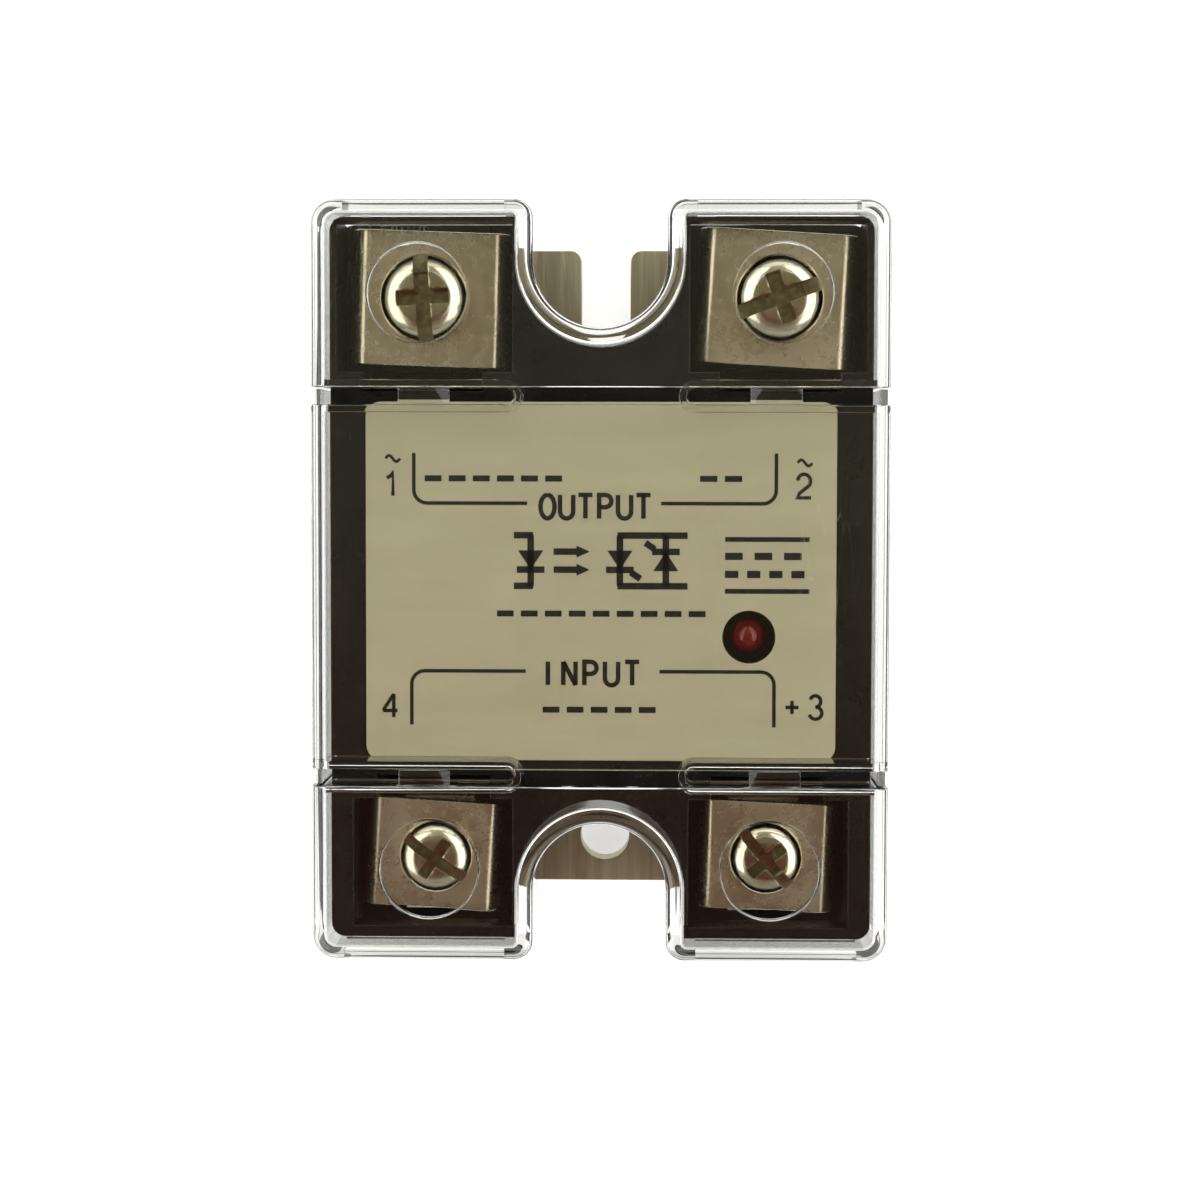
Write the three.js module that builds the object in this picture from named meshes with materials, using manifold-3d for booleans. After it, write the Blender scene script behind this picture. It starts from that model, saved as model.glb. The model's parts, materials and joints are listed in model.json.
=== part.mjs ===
// Solid state relay in a flat rectangular body, with a clear safety cover.
// Millimetres, +Z up. The origin is the centre of the base plate's underside.
// +Y is the output end (terminals 1 and 2), -Y the input end (terminals 3 and 4).

import * as THREE from "three";
import { mergeVertices } from "three/addons/utils/BufferGeometryUtils.js";
import Module from "manifold-3d";

const wasm = await Module();
wasm.setup();

// ---------------------------------------------------------------------------
// Driving sizes
// ---------------------------------------------------------------------------

// Moulded body
const BODY_WIDTH = 45;
const BODY_LENGTH = 60;
const BODY_TOP = 23;
const BODY_BOTTOM = 0.3;
const BODY_CORNER = 1.2;
const BODY_WALL = 1.2;
const ROOF_THICKNESS = 1.5;
const NOTCH_RADIUS = 6.85;
const OUTPUT_NOTCH_INSET = 3.9;
const INPUT_NOTCH_INSET = 4.75;
const TERMINAL_FLOOR = 16.4;
const SHELF_THICKNESS = 1.5;
const BAR_HEIGHT = 2.8;

// Base plate
const PLATE_MARGIN = 0.8;
const PLATE_THICKNESS = 2.8;
const PLATE_CORNER = 1;
const OUTPUT_MOUNT_INSET = 7.4;
const INPUT_MOUNT_INSET = 5;
const MOUNT_WIDTH = 4.5;

// Clear cover
const COVER_RISE = 4.5;
const COVER_WALL = 0.9;
const COVER_CLEARANCE = 0.1;
const COVER_SKIRT = 9;
const COVER_END_SKIRT = 5;
const COVER_CORNER = 2;
const COLLAR_CLEARANCE = 0.25;
const COLLAR_WALL = 1.15;
const MOUTH_CORNER = 1.5;
const HINGE_GAP = 1.35;
const OUTPUT_FLAP_LENGTH = 15.2;
const INPUT_FLAP_LENGTH = 14.3;
const TAB_WIDTH = 4.2;
const TAB_THICKNESS = 0.35;
const TAB_SPACING = 28.5;
const LEDGE_THICKNESS = 0.65;
const LEDGE_OPENING = 12.8;
const ACCESS_HOLE = 8;

// Label and lamp
const LABEL_SIDE_MARGIN = 3;
const LABEL_MARGIN = 0.3;
const LABEL_THICKNESS = 0.15;
const LABEL_CORNER = 1.2;
const LAMP_X = 12.3;
const LAMP_Y = -4.7;
const LAMP_HOLE = 4.3;
const LAMP_DIAMETER = 3;

// Fits between neighbours
const SEAT = 0.05;
const POCKET_WALL = 0.5;
const CLAMP_CLEARANCE = 0.55;
const STRIP_CLEARANCE = 0.15;
const NUT_CLEARANCE = 0.12;
const TIP_CLEARANCE = 0.4;
const SHANK_CLEARANCE = 0.03;
const HOLE_CLEARANCE = 0.25;

// Latch of the cover's centre panel in the housing's sides
const GROOVE_DEPTH = 0.45;
const GROOVE_HEIGHT = 1;
const CATCH_LENGTH = 10;
const CATCH_HEIGHT = 0.7;
const CATCH_REACH = 0.3;

// Terminal hardware: one record per end
const OUTPUT_END = {
  side: 1,
  screwInsetX: 7.7,
  screwInsetY: 6.6,
  threadDiameter: 4,
  threadLength: 10,
  headDiameter: 7.4,
  headHeight: 2.6,
  driverWidth: 1.25,
  clampWidth: 13.4,
  clampLength: 11.3,
  clampThickness: 1,
  clampShoulder: 2,
  clampTop: 20.6,
  stripThickness: 1,
  stripWidth: 8,
  stripFoot: 8.1,
  nutSize: 7,
  nutHeight: 3.2,
  recessWidth: 10,
  recessStart: 14.4,
  pocketSideWall: 0.6,
  endBar: 0.4,
};
const INPUT_END = {
  side: -1,
  screwInsetX: 8.6,
  screwInsetY: 6.5,
  threadDiameter: 3,
  threadLength: 10,
  headDiameter: 6.2,
  headHeight: 2.3,
  driverWidth: 0.95,
  clampWidth: 11.5,
  clampLength: 9.2,
  clampThickness: 0.8,
  clampShoulder: 1.6,
  clampTop: 20.4,
  stripThickness: 0.8,
  stripWidth: 6,
  stripFoot: 6.2,
  nutSize: 5.5,
  nutHeight: 2.4,
  recessWidth: 9.4,
  recessStart: 13.6,
  pocketSideWall: 1.9,
  endBar: 1,
};

// Terminals: number, end, side of the centre line, the clamp's shift across the screw
// and turn, and the turn of the driver slot
const TERMINALS = [
  { number: 1, end: OUTPUT_END, sign: -1, clampShift: 0.35, clampTurn: -2, slotTurn: 94 },
  { number: 2, end: OUTPUT_END, sign: 1, clampShift: -0.15, clampTurn: -3.5, slotTurn: 20 },
  { number: 3, end: INPUT_END, sign: 1, clampShift: 0.1, clampTurn: -2.5, slotTurn: -50 },
  { number: 4, end: INPUT_END, sign: -1, clampShift: -0.35, clampTurn: -3.5, slotTurn: -35 },
];

// Circuit inside
const BOARD_LEVEL = 10;
const BOARD_THICKNESS = 1.6;
const BOARD_MARGIN = 3.5;
const SUBSTRATE_MARGIN = 3.1;
const SUBSTRATE_LENGTH = 20;
const SUBSTRATE_THICKNESS = 0.9;
const PAD_THICKNESS = 0.3;
const DIE_SIZE = 8;
const DIE_THICKNESS = 0.4;
const STRAP_THICKNESS = 0.5;
const POTTING_CLEARANCE = 0.12;

// ---------------------------------------------------------------------------
// Derived sizes
// ---------------------------------------------------------------------------

const halfWidth = BODY_WIDTH / 2;
const halfLength = BODY_LENGTH / 2;
const plateHalfWidth = halfWidth - PLATE_MARGIN;
const plateHalfLength = halfLength - PLATE_MARGIN;
const outputMountY = halfLength - OUTPUT_MOUNT_INSET;
const inputMountY = -(halfLength - INPUT_MOUNT_INSET);
const outputNotchY = halfLength - OUTPUT_NOTCH_INSET;
const inputNotchY = -(halfLength - INPUT_NOTCH_INSET);
const coverHalfWidth = halfWidth + COVER_CLEARANCE + COVER_WALL;
const coverHalfLength = halfLength + COVER_CLEARANCE + COVER_WALL;
const coverTop = BODY_TOP + COVER_RISE;
const coverUnder = coverTop - COVER_WALL;
const coverSkirtBottom = coverTop - COVER_SKIRT;
const coverEndBottom = coverTop - COVER_END_SKIRT;
const grooveBottom = coverSkirtBottom + 1;
const outputFlapEdge = coverHalfLength - OUTPUT_FLAP_LENGTH;
const inputFlapEdge = -(coverHalfLength - INPUT_FLAP_LENGTH);
const outputCentreEdge = outputFlapEdge - HINGE_GAP;
const inputCentreEdge = inputFlapEdge + HINGE_GAP;
const labelTopY = outputCentreEdge + LABEL_MARGIN;
const labelBottomY = inputCentreEdge + LABEL_MARGIN;
const shelfUnder = TERMINAL_FLOOR - SHELF_THICKNESS;
const plateTop = PLATE_THICKNESS;
const boardTop = BOARD_LEVEL + BOARD_THICKNESS;
const outputWallY = halfLength - OUTPUT_END.recessStart - BODY_WALL;
const inputWallY = -(halfLength - INPUT_END.recessStart - BODY_WALL);
const substrateTop = plateTop + SEAT + SUBSTRATE_THICKNESS;
const padTop = substrateTop + PAD_THICKNESS;
const dieTop = padTop + DIE_THICKNESS;
const substrateHalfWidth = halfWidth - SUBSTRATE_MARGIN;
const substrateFarY = outputWallY - 1.4;
const substrateNearY = substrateFarY - SUBSTRATE_LENGTH;

// ---------------------------------------------------------------------------
// Helpers
// ---------------------------------------------------------------------------

// A closed geometry as a solid, facing outwards.
function asSolid(geometry) {
  const loose = geometry.index ? geometry.toNonIndexed() : geometry;
  const bare = new THREE.BufferGeometry();
  bare.setAttribute("position", loose.getAttribute("position"));
  const merged = mergeVertices(bare, 1e-4);
  const corners = new Uint32Array(merged.index.array);
  const places = merged.attributes.position.array;
  const build = () =>
    new wasm.Manifold(
      new wasm.Mesh({ numProp: 3, vertProperties: places, triVerts: corners }),
    );
  const first = build();
  if (first.volume() > 0) return first;
  for (let i = 0; i < corners.length; i += 3) {
    const kept = corners[i + 1];
    corners[i + 1] = corners[i + 2];
    corners[i + 2] = kept;
  }
  return build();
}

// A solid as a geometry with flat shading.
function asGeometry(solid) {
  const mesh = solid.getMesh();
  const stride = mesh.numProp;
  const places = new Float32Array(mesh.triVerts.length * 3);
  mesh.triVerts.forEach((vertex, i) => {
    places[3 * i] = mesh.vertProperties[vertex * stride];
    places[3 * i + 1] = mesh.vertProperties[vertex * stride + 1];
    places[3 * i + 2] = mesh.vertProperties[vertex * stride + 2];
  });
  const geometry = new THREE.BufferGeometry();
  geometry.setAttribute("position", new THREE.BufferAttribute(places, 3));
  geometry.computeVertexNormals();
  return geometry;
}

function box(x0, x1, y0, y1, z0, z1) {
  const lowX = Math.min(x0, x1);
  const lowY = Math.min(y0, y1);
  const sizeX = Math.abs(x1 - x0);
  const sizeY = Math.abs(y1 - y0);
  const geometry = new THREE.BoxGeometry(sizeX, sizeY, z1 - z0);
  geometry.translate(lowX + sizeX / 2, lowY + sizeY / 2, (z0 + z1) / 2);
  return asSolid(geometry);
}

function cylinder(x, y, z0, z1, radius, segments = 32, topRadius = radius) {
  const geometry = new THREE.CylinderGeometry(topRadius, radius, z1 - z0, segments);
  geometry.rotateX(Math.PI / 2);
  geometry.translate(x, y, (z0 + z1) / 2);
  return asSolid(geometry);
}

// A cylinder along X.
function lyingCylinder(x0, x1, y, z, radius) {
  const geometry = new THREE.CylinderGeometry(radius, radius, x1 - x0, 20);
  geometry.rotateZ(Math.PI / 2);
  geometry.translate((x0 + x1) / 2, y, z);
  return asSolid(geometry);
}

// A flat outline pulled up from z0 to z1.
function prism(points, z0, z1) {
  const shape = new THREE.Shape(points);
  const geometry = new THREE.ExtrudeGeometry(shape, {
    depth: z1 - z0,
    bevelEnabled: false,
  });
  geometry.translate(0, 0, z0);
  return asSolid(geometry);
}

// A profile of [radius, height] pairs turned about the Z axis.
function turned(profile, segments, x = 0, y = 0) {
  const points = profile.map(([radius, height]) => new THREE.Vector2(radius, height));
  const geometry = new THREE.LatheGeometry(points, segments);
  geometry.rotateX(Math.PI / 2);
  geometry.translate(x, y, 0);
  return asSolid(geometry);
}

// A profile of [across, up] pairs pulled along Y from y0 to y1.
function rail(profile, y0, y1) {
  const shape = new THREE.Shape(profile.map(([a, b]) => new THREE.Vector2(a, b)));
  const geometry = new THREE.ExtrudeGeometry(shape, {
    depth: y1 - y0,
    bevelEnabled: false,
  });
  geometry.rotateX(Math.PI / 2);
  geometry.translate(0, y1, 0);
  return asSolid(geometry);
}

// A profile of [along Y, up] pairs pulled across X from x0 to x1.
function crossRail(profile, x0, x1) {
  const shape = new THREE.Shape(profile.map(([a, b]) => new THREE.Vector2(a, b)));
  const geometry = new THREE.ExtrudeGeometry(shape, {
    depth: x1 - x0,
    bevelEnabled: false,
  });
  geometry.rotateX(Math.PI / 2);
  geometry.rotateZ(Math.PI / 2);
  geometry.translate(x0, 0, 0);
  return asSolid(geometry);
}

// Adds an arc to a list of points; angles in degrees.
function arc(points, x, y, radius, from, to, steps = 6) {
  for (let i = 0; i <= steps; i += 1) {
    const angle = THREE.MathUtils.degToRad(from + ((to - from) * i) / steps);
    points.push(
      new THREE.Vector2(x + radius * Math.cos(angle), y + radius * Math.sin(angle)),
    );
  }
  return points;
}

function roundedRectangle(x0, x1, y0, y1, radius) {
  const points = [];
  arc(points, x1 - radius, y0 + radius, radius, -90, 0);
  arc(points, x1 - radius, y1 - radius, radius, 0, 90);
  arc(points, x0 + radius, y1 - radius, radius, 90, 180);
  arc(points, x0 + radius, y0 + radius, radius, 180, 270);
  return points;
}

// A U with a round end at notchY, open past endY.
function notchOutline(radius, notchY, endY) {
  const side = Math.sign(endY - notchY);
  const points = [];
  arc(points, 0, notchY, radius, 0, -180 * side, 24);
  points.push(new THREE.Vector2(-radius, endY));
  points.push(new THREE.Vector2(radius, endY));
  return points;
}

// A plate from nearY to farY with one U notch in its far edge and round corners.
function notchedPlate(size) {
  const { half, nearY, farY, corner, nearCorner, notch, notchY, mouth } = size;
  const side = Math.sign(farY - nearY);
  const far = Math.abs(farY);
  const near = nearY * side;
  const centre = notchY * side;
  const points = [];
  if (nearCorner > 0) {
    arc(points, -half + nearCorner, near + nearCorner, nearCorner, 180, 270);
    arc(points, half - nearCorner, near + nearCorner, nearCorner, 270, 360);
  } else {
    points.push(new THREE.Vector2(-half, near));
    points.push(new THREE.Vector2(half, near));
  }
  arc(points, half - corner, far - corner, corner, 0, 90);
  arc(points, notch + mouth, far - mouth, mouth, 90, 180);
  arc(points, 0, centre, notch, 0, -180, 28);
  arc(points, -notch - mouth, far - mouth, mouth, 0, 90);
  arc(points, -half + corner, far - corner, corner, 90, 180);
  points.forEach((point) => {
    point.y *= side;
  });
  return points;
}

// ---------------------------------------------------------------------------
// Materials and the assembly
// ---------------------------------------------------------------------------

const relay = new THREE.Group();

const FINISHES = {
  plate: { color: 0x9a8f6e, roughness: 0.45, metalness: 1 },
  housing: { color: 0x16171a, roughness: 0.42, metalness: 0 },
  label: { color: 0xc9c4b0, roughness: 0.4, metalness: 0.3 },
  clear: { color: 0xe9eef0, roughness: 0.08, metalness: 0, transparent: true, opacity: 0.3 },
  nickel: { color: 0xc9c2ad, roughness: 0.25, metalness: 1 },
  screw: { color: 0xc4bda8, roughness: 0.28, metalness: 1 },
  brass: { color: 0xb79a5a, roughness: 0.35, metalness: 1 },
  copper: { color: 0xb87350, roughness: 0.35, metalness: 1 },
  ceramic: { color: 0xece8de, roughness: 0.55, metalness: 0 },
  silicon: { color: 0x3c4048, roughness: 0.2, metalness: 0.6 },
  tinned: { color: 0xbfc2c4, roughness: 0.3, metalness: 1 },
  board: { color: 0x2c5a35, roughness: 0.5, metalness: 0 },
  package: { color: 0x1b1b1d, roughness: 0.5, metalness: 0 },
  capacitor: { color: 0x9c2f22, roughness: 0.4, metalness: 0 },
  resistor: { color: 0x8fa7b0, roughness: 0.5, metalness: 0 },
  powerResistor: { color: 0x6d7f6a, roughness: 0.6, metalness: 0 },
  lamp: { color: 0xb01015, roughness: 0.12, metalness: 0 },
  potting: { color: 0x33302b, roughness: 0.6, metalness: 0 },
};

function addPart(name, solid, finish, parent = relay) {
  const material = new THREE.MeshStandardMaterial(FINISHES[finish]);
  const mesh = new THREE.Mesh(asGeometry(solid), material);
  mesh.name = name;
  parent.add(mesh);
  return mesh;
}

// Where a terminal's screw stands.
function screwPlace({ end, sign }) {
  return {
    x: sign * (halfWidth - end.screwInsetX),
    y: end.side * (halfLength - end.screwInsetY),
  };
}

// A group that stands on a screw's axis.
function terminalGroup(terminal) {
  const place = screwPlace(terminal);
  const group = new THREE.Group();
  group.position.set(place.x, place.y, 0);
  relay.add(group);
  return group;
}

// ---------------------------------------------------------------------------
// Base plate
// ---------------------------------------------------------------------------

function basePlate() {
  const outline = notchedPlate({
    half: plateHalfWidth,
    nearY: -plateHalfLength,
    farY: plateHalfLength,
    corner: PLATE_CORNER,
    nearCorner: PLATE_CORNER,
    notch: MOUNT_WIDTH / 2,
    notchY: outputMountY,
    mouth: 1,
  });
  const plate = prism(outline, 0, PLATE_THICKNESS);
  const hole = cylinder(0, inputMountY, -1, PLATE_THICKNESS + 1, MOUNT_WIDTH / 2, 40);
  return plate.subtract(hole);
}

// ---------------------------------------------------------------------------
// Housing: a potted shell with a lowered pocket at each terminal
// ---------------------------------------------------------------------------

// Half the width of the column of plastic around a captive nut.
function nutColumnHalf(end) {
  return end.nutSize / 2 + NUT_CLEARANCE + BODY_WALL;
}

// Where a strip's leg goes down beside the nut column, measured from the middle of the body.
function legStart(end) {
  const columnFace = halfLength - end.screwInsetY - nutColumnHalf(end);
  return columnFace - STRIP_CLEARANCE - end.stripThickness;
}

// The square column of plastic that holds a captive nut.
function nutColumn(terminal, margin) {
  const { end } = terminal;
  const { x, y } = screwPlace(terminal);
  const half = nutColumnHalf(end) + margin;
  const bottom = end.clampTop - end.threadLength - TIP_CLEARANCE - BODY_WALL - margin;
  return box(x - half, x + half, y - half, y + half, bottom, shelfUnder + 0.5);
}

// Everything that is cut away at one terminal.
function terminalCuts(terminal) {
  const { end, sign } = terminal;
  const { side } = end;
  const { x, y } = screwPlace(terminal);
  const inner = sign * (NOTCH_RADIUS + POCKET_WALL);
  const outer = sign * (halfWidth - end.pocketSideWall);
  const pocketStart = Math.abs(y) - end.clampLength / 2 - CLAMP_CLEARANCE;
  const past = halfLength + 1;
  const above = BODY_TOP + 1;
  const pocketEnd = halfLength - end.endBar;
  const pocket = box(inner, outer, side * pocketStart, side * pocketEnd, TERMINAL_FLOOR, above);
  const underBar = BODY_TOP - BAR_HEIGHT;
  const entryStart = pocketEnd - 0.5;
  const entry = box(inner, outer, side * entryStart, side * past, TERMINAL_FLOOR, underBar);
  const recessStart = halfLength - end.recessStart;
  const recessHalf = end.recessWidth / 2;
  const recess = box(
    x - recessHalf,
    x + recessHalf,
    side * recessStart,
    side * (pocketStart + 0.5),
    TERMINAL_FLOOR,
    above,
  );
  const slotHalf = end.stripWidth / 2 + STRIP_CLEARANCE;
  const slot = box(
    x - slotHalf,
    x + slotHalf,
    side * (legStart(end) - STRIP_CLEARANCE),
    side * (legStart(end) + end.stripThickness + STRIP_CLEARANCE),
    shelfUnder - 1,
    TERMINAL_FLOOR + 0.5,
  );
  const nutHalf = end.nutSize / 2 + NUT_CLEARANCE;
  const nutFloor = TERMINAL_FLOOR - end.nutHeight - 2 * SEAT;
  const nutPocket = box(
    x - nutHalf,
    x + nutHalf,
    y - nutHalf,
    y + nutHalf,
    nutFloor,
    TERMINAL_FLOOR + 0.5,
  );
  const tipFloor = end.clampTop - end.threadLength - TIP_CLEARANCE;
  const tipRadius = end.threadDiameter / 2 + HOLE_CLEARANCE;
  const tipRoom = cylinder(x, y, tipFloor, nutFloor + 0.5, tipRadius, 32);
  return pocket.add(entry).add(recess).add(slot).add(nutPocket).add(tipRoom);
}

// The room under the roof and shelves. margin shrinks it for what fills it.
function cavity(bottom, top, margin) {
  const half = halfWidth - BODY_WALL - margin;
  const end = halfLength - BODY_WALL - margin;
  const notch = NOTCH_RADIUS + BODY_WALL + margin;
  let room = box(-half, half, -end, end, bottom, Math.min(top, shelfUnder));
  const past = halfLength + 1;
  room = room.subtract(prism(notchOutline(notch, outputNotchY, past), bottom - 1, top + 1));
  room = room.subtract(prism(notchOutline(notch, inputNotchY, -past), bottom - 1, top + 1));
  TERMINALS.forEach((terminal) => {
    room = room.subtract(nutColumn(terminal, margin));
  });
  if (top > shelfUnder) {
    const far = outputWallY - margin;
    const near = inputWallY + margin;
    room = room.add(box(-half, half, near, far, shelfUnder - 0.5, top));
  }
  return room;
}

function housing() {
  const outline = roundedRectangle(-halfWidth, halfWidth, -halfLength, halfLength, BODY_CORNER);
  const past = halfLength + 1;
  const low = BODY_BOTTOM - 1;
  const high = BODY_TOP + 1;
  let body = prism(outline, BODY_BOTTOM, BODY_TOP);
  body = body.subtract(prism(notchOutline(NOTCH_RADIUS, outputNotchY, past), low, high));
  body = body.subtract(prism(notchOutline(NOTCH_RADIUS, inputNotchY, -past), low, high));
  const seatX = plateHalfWidth + SEAT;
  const seatY = plateHalfLength + SEAT;
  body = body.subtract(box(-seatX, seatX, -seatY, seatY, low, plateTop + SEAT));
  body = body.subtract(cavity(plateTop, BODY_TOP - ROOF_THICKNESS, 0));
  TERMINALS.forEach((terminal) => {
    body = body.subtract(terminalCuts(terminal));
  });
  body = body.subtract(cylinder(LAMP_X, LAMP_Y, BODY_TOP - 3, high, LAMP_HOLE / 2, 40));
  const grooveReach = CATCH_LENGTH / 2 + CATCH_REACH;
  [-1, 1].forEach((sign) => {
    const deep = sign * (halfWidth - GROOVE_DEPTH);
    const out = sign * (halfWidth + 1);
    const top = grooveBottom + GROOVE_HEIGHT;
    body = body.subtract(box(deep, out, -grooveReach, grooveReach, grooveBottom, top));
  });
  return body;
}

// ---------------------------------------------------------------------------
// Label
// ---------------------------------------------------------------------------

function label() {
  const half = halfWidth - LABEL_SIDE_MARGIN;
  const outline = roundedRectangle(-half, half, labelBottomY, labelTopY, LABEL_CORNER);
  const sheet = prism(outline, BODY_TOP, BODY_TOP + LABEL_THICKNESS);
  const window = cylinder(LAMP_X, LAMP_Y, BODY_TOP - 1, BODY_TOP + 1, LAMP_HOLE / 2 + 0.05, 40);
  return sheet.subtract(window);
}

// ---------------------------------------------------------------------------
// Clear cover: a fixed centre panel and two flaps on living-hinge tabs
// ---------------------------------------------------------------------------

// Ring that lines one hinge slot: a leg on the centre panel, a round inner end and a ledge.
function hingeLedge(sign, centreEdge, flapEdge) {
  const side = Math.sign(flapEdge - centreEdge);
  const middle = (centreEdge + flapEdge) / 2;
  const innerHalf = HINGE_GAP / 2;
  const outerHalf = innerHalf + LEDGE_THICKNESS;
  const start = LEDGE_OPENING / 2;
  const wallX = coverHalfWidth - COVER_WALL - 0.15;
  const bottom = BODY_TOP + LABEL_THICKNESS + 0.1;
  const top = coverUnder - 0.1;
  const outerPoints = [];
  const innerPoints = [];
  arc(outerPoints, start + outerHalf, middle, outerHalf, 90, 270, 10);
  outerPoints.push(new THREE.Vector2(wallX, middle - outerHalf));
  outerPoints.push(new THREE.Vector2(wallX, middle + outerHalf));
  arc(innerPoints, start + outerHalf, middle, innerHalf, 90, 270, 10);
  innerPoints.push(new THREE.Vector2(wallX + 1, middle - innerHalf));
  innerPoints.push(new THREE.Vector2(wallX + 1, middle + innerHalf));
  [...outerPoints, ...innerPoints].forEach((point) => {
    point.x *= sign;
  });
  let ring = prism(outerPoints, bottom, top);
  ring = ring.subtract(prism(innerPoints, bottom - 1, top + 1));
  const legX = sign * (start + outerHalf);
  const backY = centreEdge - side * LEDGE_THICKNESS;
  const leg = box(legX, sign * (wallX + 0.4), backY, centreEdge, bottom, coverUnder + 0.2);
  return ring.add(leg);
}

function coverCentre() {
  const half = coverHalfWidth;
  const inner = half - COVER_WALL;
  const near = inputCentreEdge;
  const far = outputCentreEdge;
  let panel = box(-half, half, near, far, coverSkirtBottom, coverTop);
  panel = panel.subtract(box(-inner, inner, near - 1, far + 1, coverSkirtBottom - 1, coverUnder));
  [-1, 1].forEach((sign) => {
    panel = panel.add(hingeLedge(sign, outputCentreEdge, outputFlapEdge));
    panel = panel.add(hingeLedge(sign, inputCentreEdge, inputFlapEdge));
    const low = grooveBottom + (GROOVE_HEIGHT - CATCH_HEIGHT) / 2;
    const tip = sign * (halfWidth - CATCH_REACH);
    const root = sign * (inner + 0.2);
    const reach = CATCH_LENGTH / 2;
    panel = panel.add(box(tip, root, -reach, reach, low, low + CATCH_HEIGHT));
  });
  return panel;
}

function flap(end, flapEdge, notchY) {
  const { side } = end;
  const shell = (inset, nearY) =>
    notchedPlate({
      half: coverHalfWidth - inset,
      nearY,
      farY: side * (coverHalfLength - inset),
      corner: COVER_CORNER - inset,
      nearCorner: 0,
      notch: NOTCH_RADIUS - COLLAR_CLEARANCE - COLLAR_WALL + inset * (COLLAR_WALL / COVER_WALL),
      notchY,
      mouth: MOUTH_CORNER - inset,
    });
  let body = prism(shell(0, flapEdge), coverSkirtBottom, coverTop);
  const hollow = prism(shell(COVER_WALL, flapEdge - side), coverSkirtBottom - 1, coverUnder);
  body = body.subtract(hollow);
  const endInner = side * (coverHalfLength - COVER_WALL - 0.05);
  const endOuter = side * (coverHalfLength + 1);
  TERMINALS.filter((terminal) => terminal.end === end).forEach((terminal) => {
    const { sign } = terminal;
    const { x, y } = screwPlace(terminal);
    const windowIn = sign * (NOTCH_RADIUS + 1.1);
    const windowOut = sign * (coverHalfWidth - COVER_CORNER - 0.2);
    const below = coverSkirtBottom - 1;
    body = body.subtract(box(windowIn, windowOut, endInner, endOuter, below, coverEndBottom));
    body = body.subtract(cylinder(x, y, coverUnder - 1, coverTop + 1, ACCESS_HOLE / 2, 40));
  });
  return body;
}

function hingeTab(sign, centreEdge, flapEdge) {
  const x = (sign * TAB_SPACING) / 2;
  const half = TAB_WIDTH / 2;
  return box(x - half, x + half, centreEdge, flapEdge, coverTop - TAB_THICKNESS, coverTop);
}

// ---------------------------------------------------------------------------
// Terminal hardware
// ---------------------------------------------------------------------------

// Saddle clamp: a plate with its two side edges bent down onto the strip, free on its screw.
function clamp({ end, clampShift }) {
  const half = end.clampWidth / 2;
  const thick = end.clampThickness;
  const bend = end.clampShoulder;
  const top = end.clampTop;
  const foot = TERMINAL_FLOOR + end.stripThickness + SEAT;
  const outline = [];
  outline.push(new THREE.Vector2(half, foot));
  arc(outline, half - bend, top - bend, bend, 0, 90, 5);
  arc(outline, -half + bend, top - bend, bend, 90, 180, 5);
  outline.push(new THREE.Vector2(-half, foot));
  outline.push(new THREE.Vector2(-half + thick, foot));
  arc(outline, -half + bend, top - bend, bend - thick, 180, 90, 4);
  arc(outline, half - bend, top - bend, bend - thick, 90, 0, 4);
  outline.push(new THREE.Vector2(half - thick, foot));
  const profile = outline.map((point) => [point.x + clampShift, point.y]);
  const reach = end.clampLength / 2;
  const saddle = rail(profile, -reach, reach);
  const hole = cylinder(0, 0, foot - 1, top + 1, end.threadDiameter / 2 + HOLE_CLEARANCE, 40);
  return saddle.subtract(hole);
}

// Pan-head screw with a combined slot and cross recess.
function screw(end) {
  const shank = end.threadDiameter / 2 - SHANK_CLEARANCE;
  const head = end.headDiameter / 2;
  const seat = end.clampTop + SEAT;
  const top = seat + end.headHeight;
  const tip = seat - end.threadLength;
  const body = turned([
    [0, tip],
    [shank - 0.5, tip],
    [shank, tip + 0.5],
    [shank, seat],
    [head * 0.97, seat],
    [head, seat + end.headHeight * 0.1],
    [head, seat + end.headHeight * 0.38],
    [head * 0.95, seat + end.headHeight * 0.62],
    [head * 0.84, seat + end.headHeight * 0.83],
    [head * 0.66, seat + end.headHeight * 0.96],
    [head * 0.4, top],
    [0, top],
  ], 48);
  const blade = end.driverWidth / 2;
  const slot = box(-head - 1, head + 1, -blade, blade, top - end.headHeight * 0.42, top + 1);
  const wing = head * 0.58;
  const crossA = box(-wing, wing, -blade, blade, seat, top + 1);
  const crossB = box(-blade, blade, -wing, wing, seat, top + 1);
  const taper = cylinder(0, 0, top - end.headHeight * 0.72, top + 0.3, wing * 0.3, 24, wing * 1.05);
  const cross = crossA.add(crossB).intersect(taper);
  return body.subtract(slot).subtract(cross);
}

// Square nut held in its column under the strip.
function nut(end) {
  const half = end.nutSize / 2;
  const top = TERMINAL_FLOOR - SEAT;
  const block = box(-half, half, -half, half, top - end.nutHeight, top);
  const radius = end.threadDiameter / 2 + SEAT - SHANK_CLEARANCE;
  const hole = cylinder(0, 0, -1, TERMINAL_FLOOR + 1, radius, 48);
  return block.subtract(hole);
}

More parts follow.
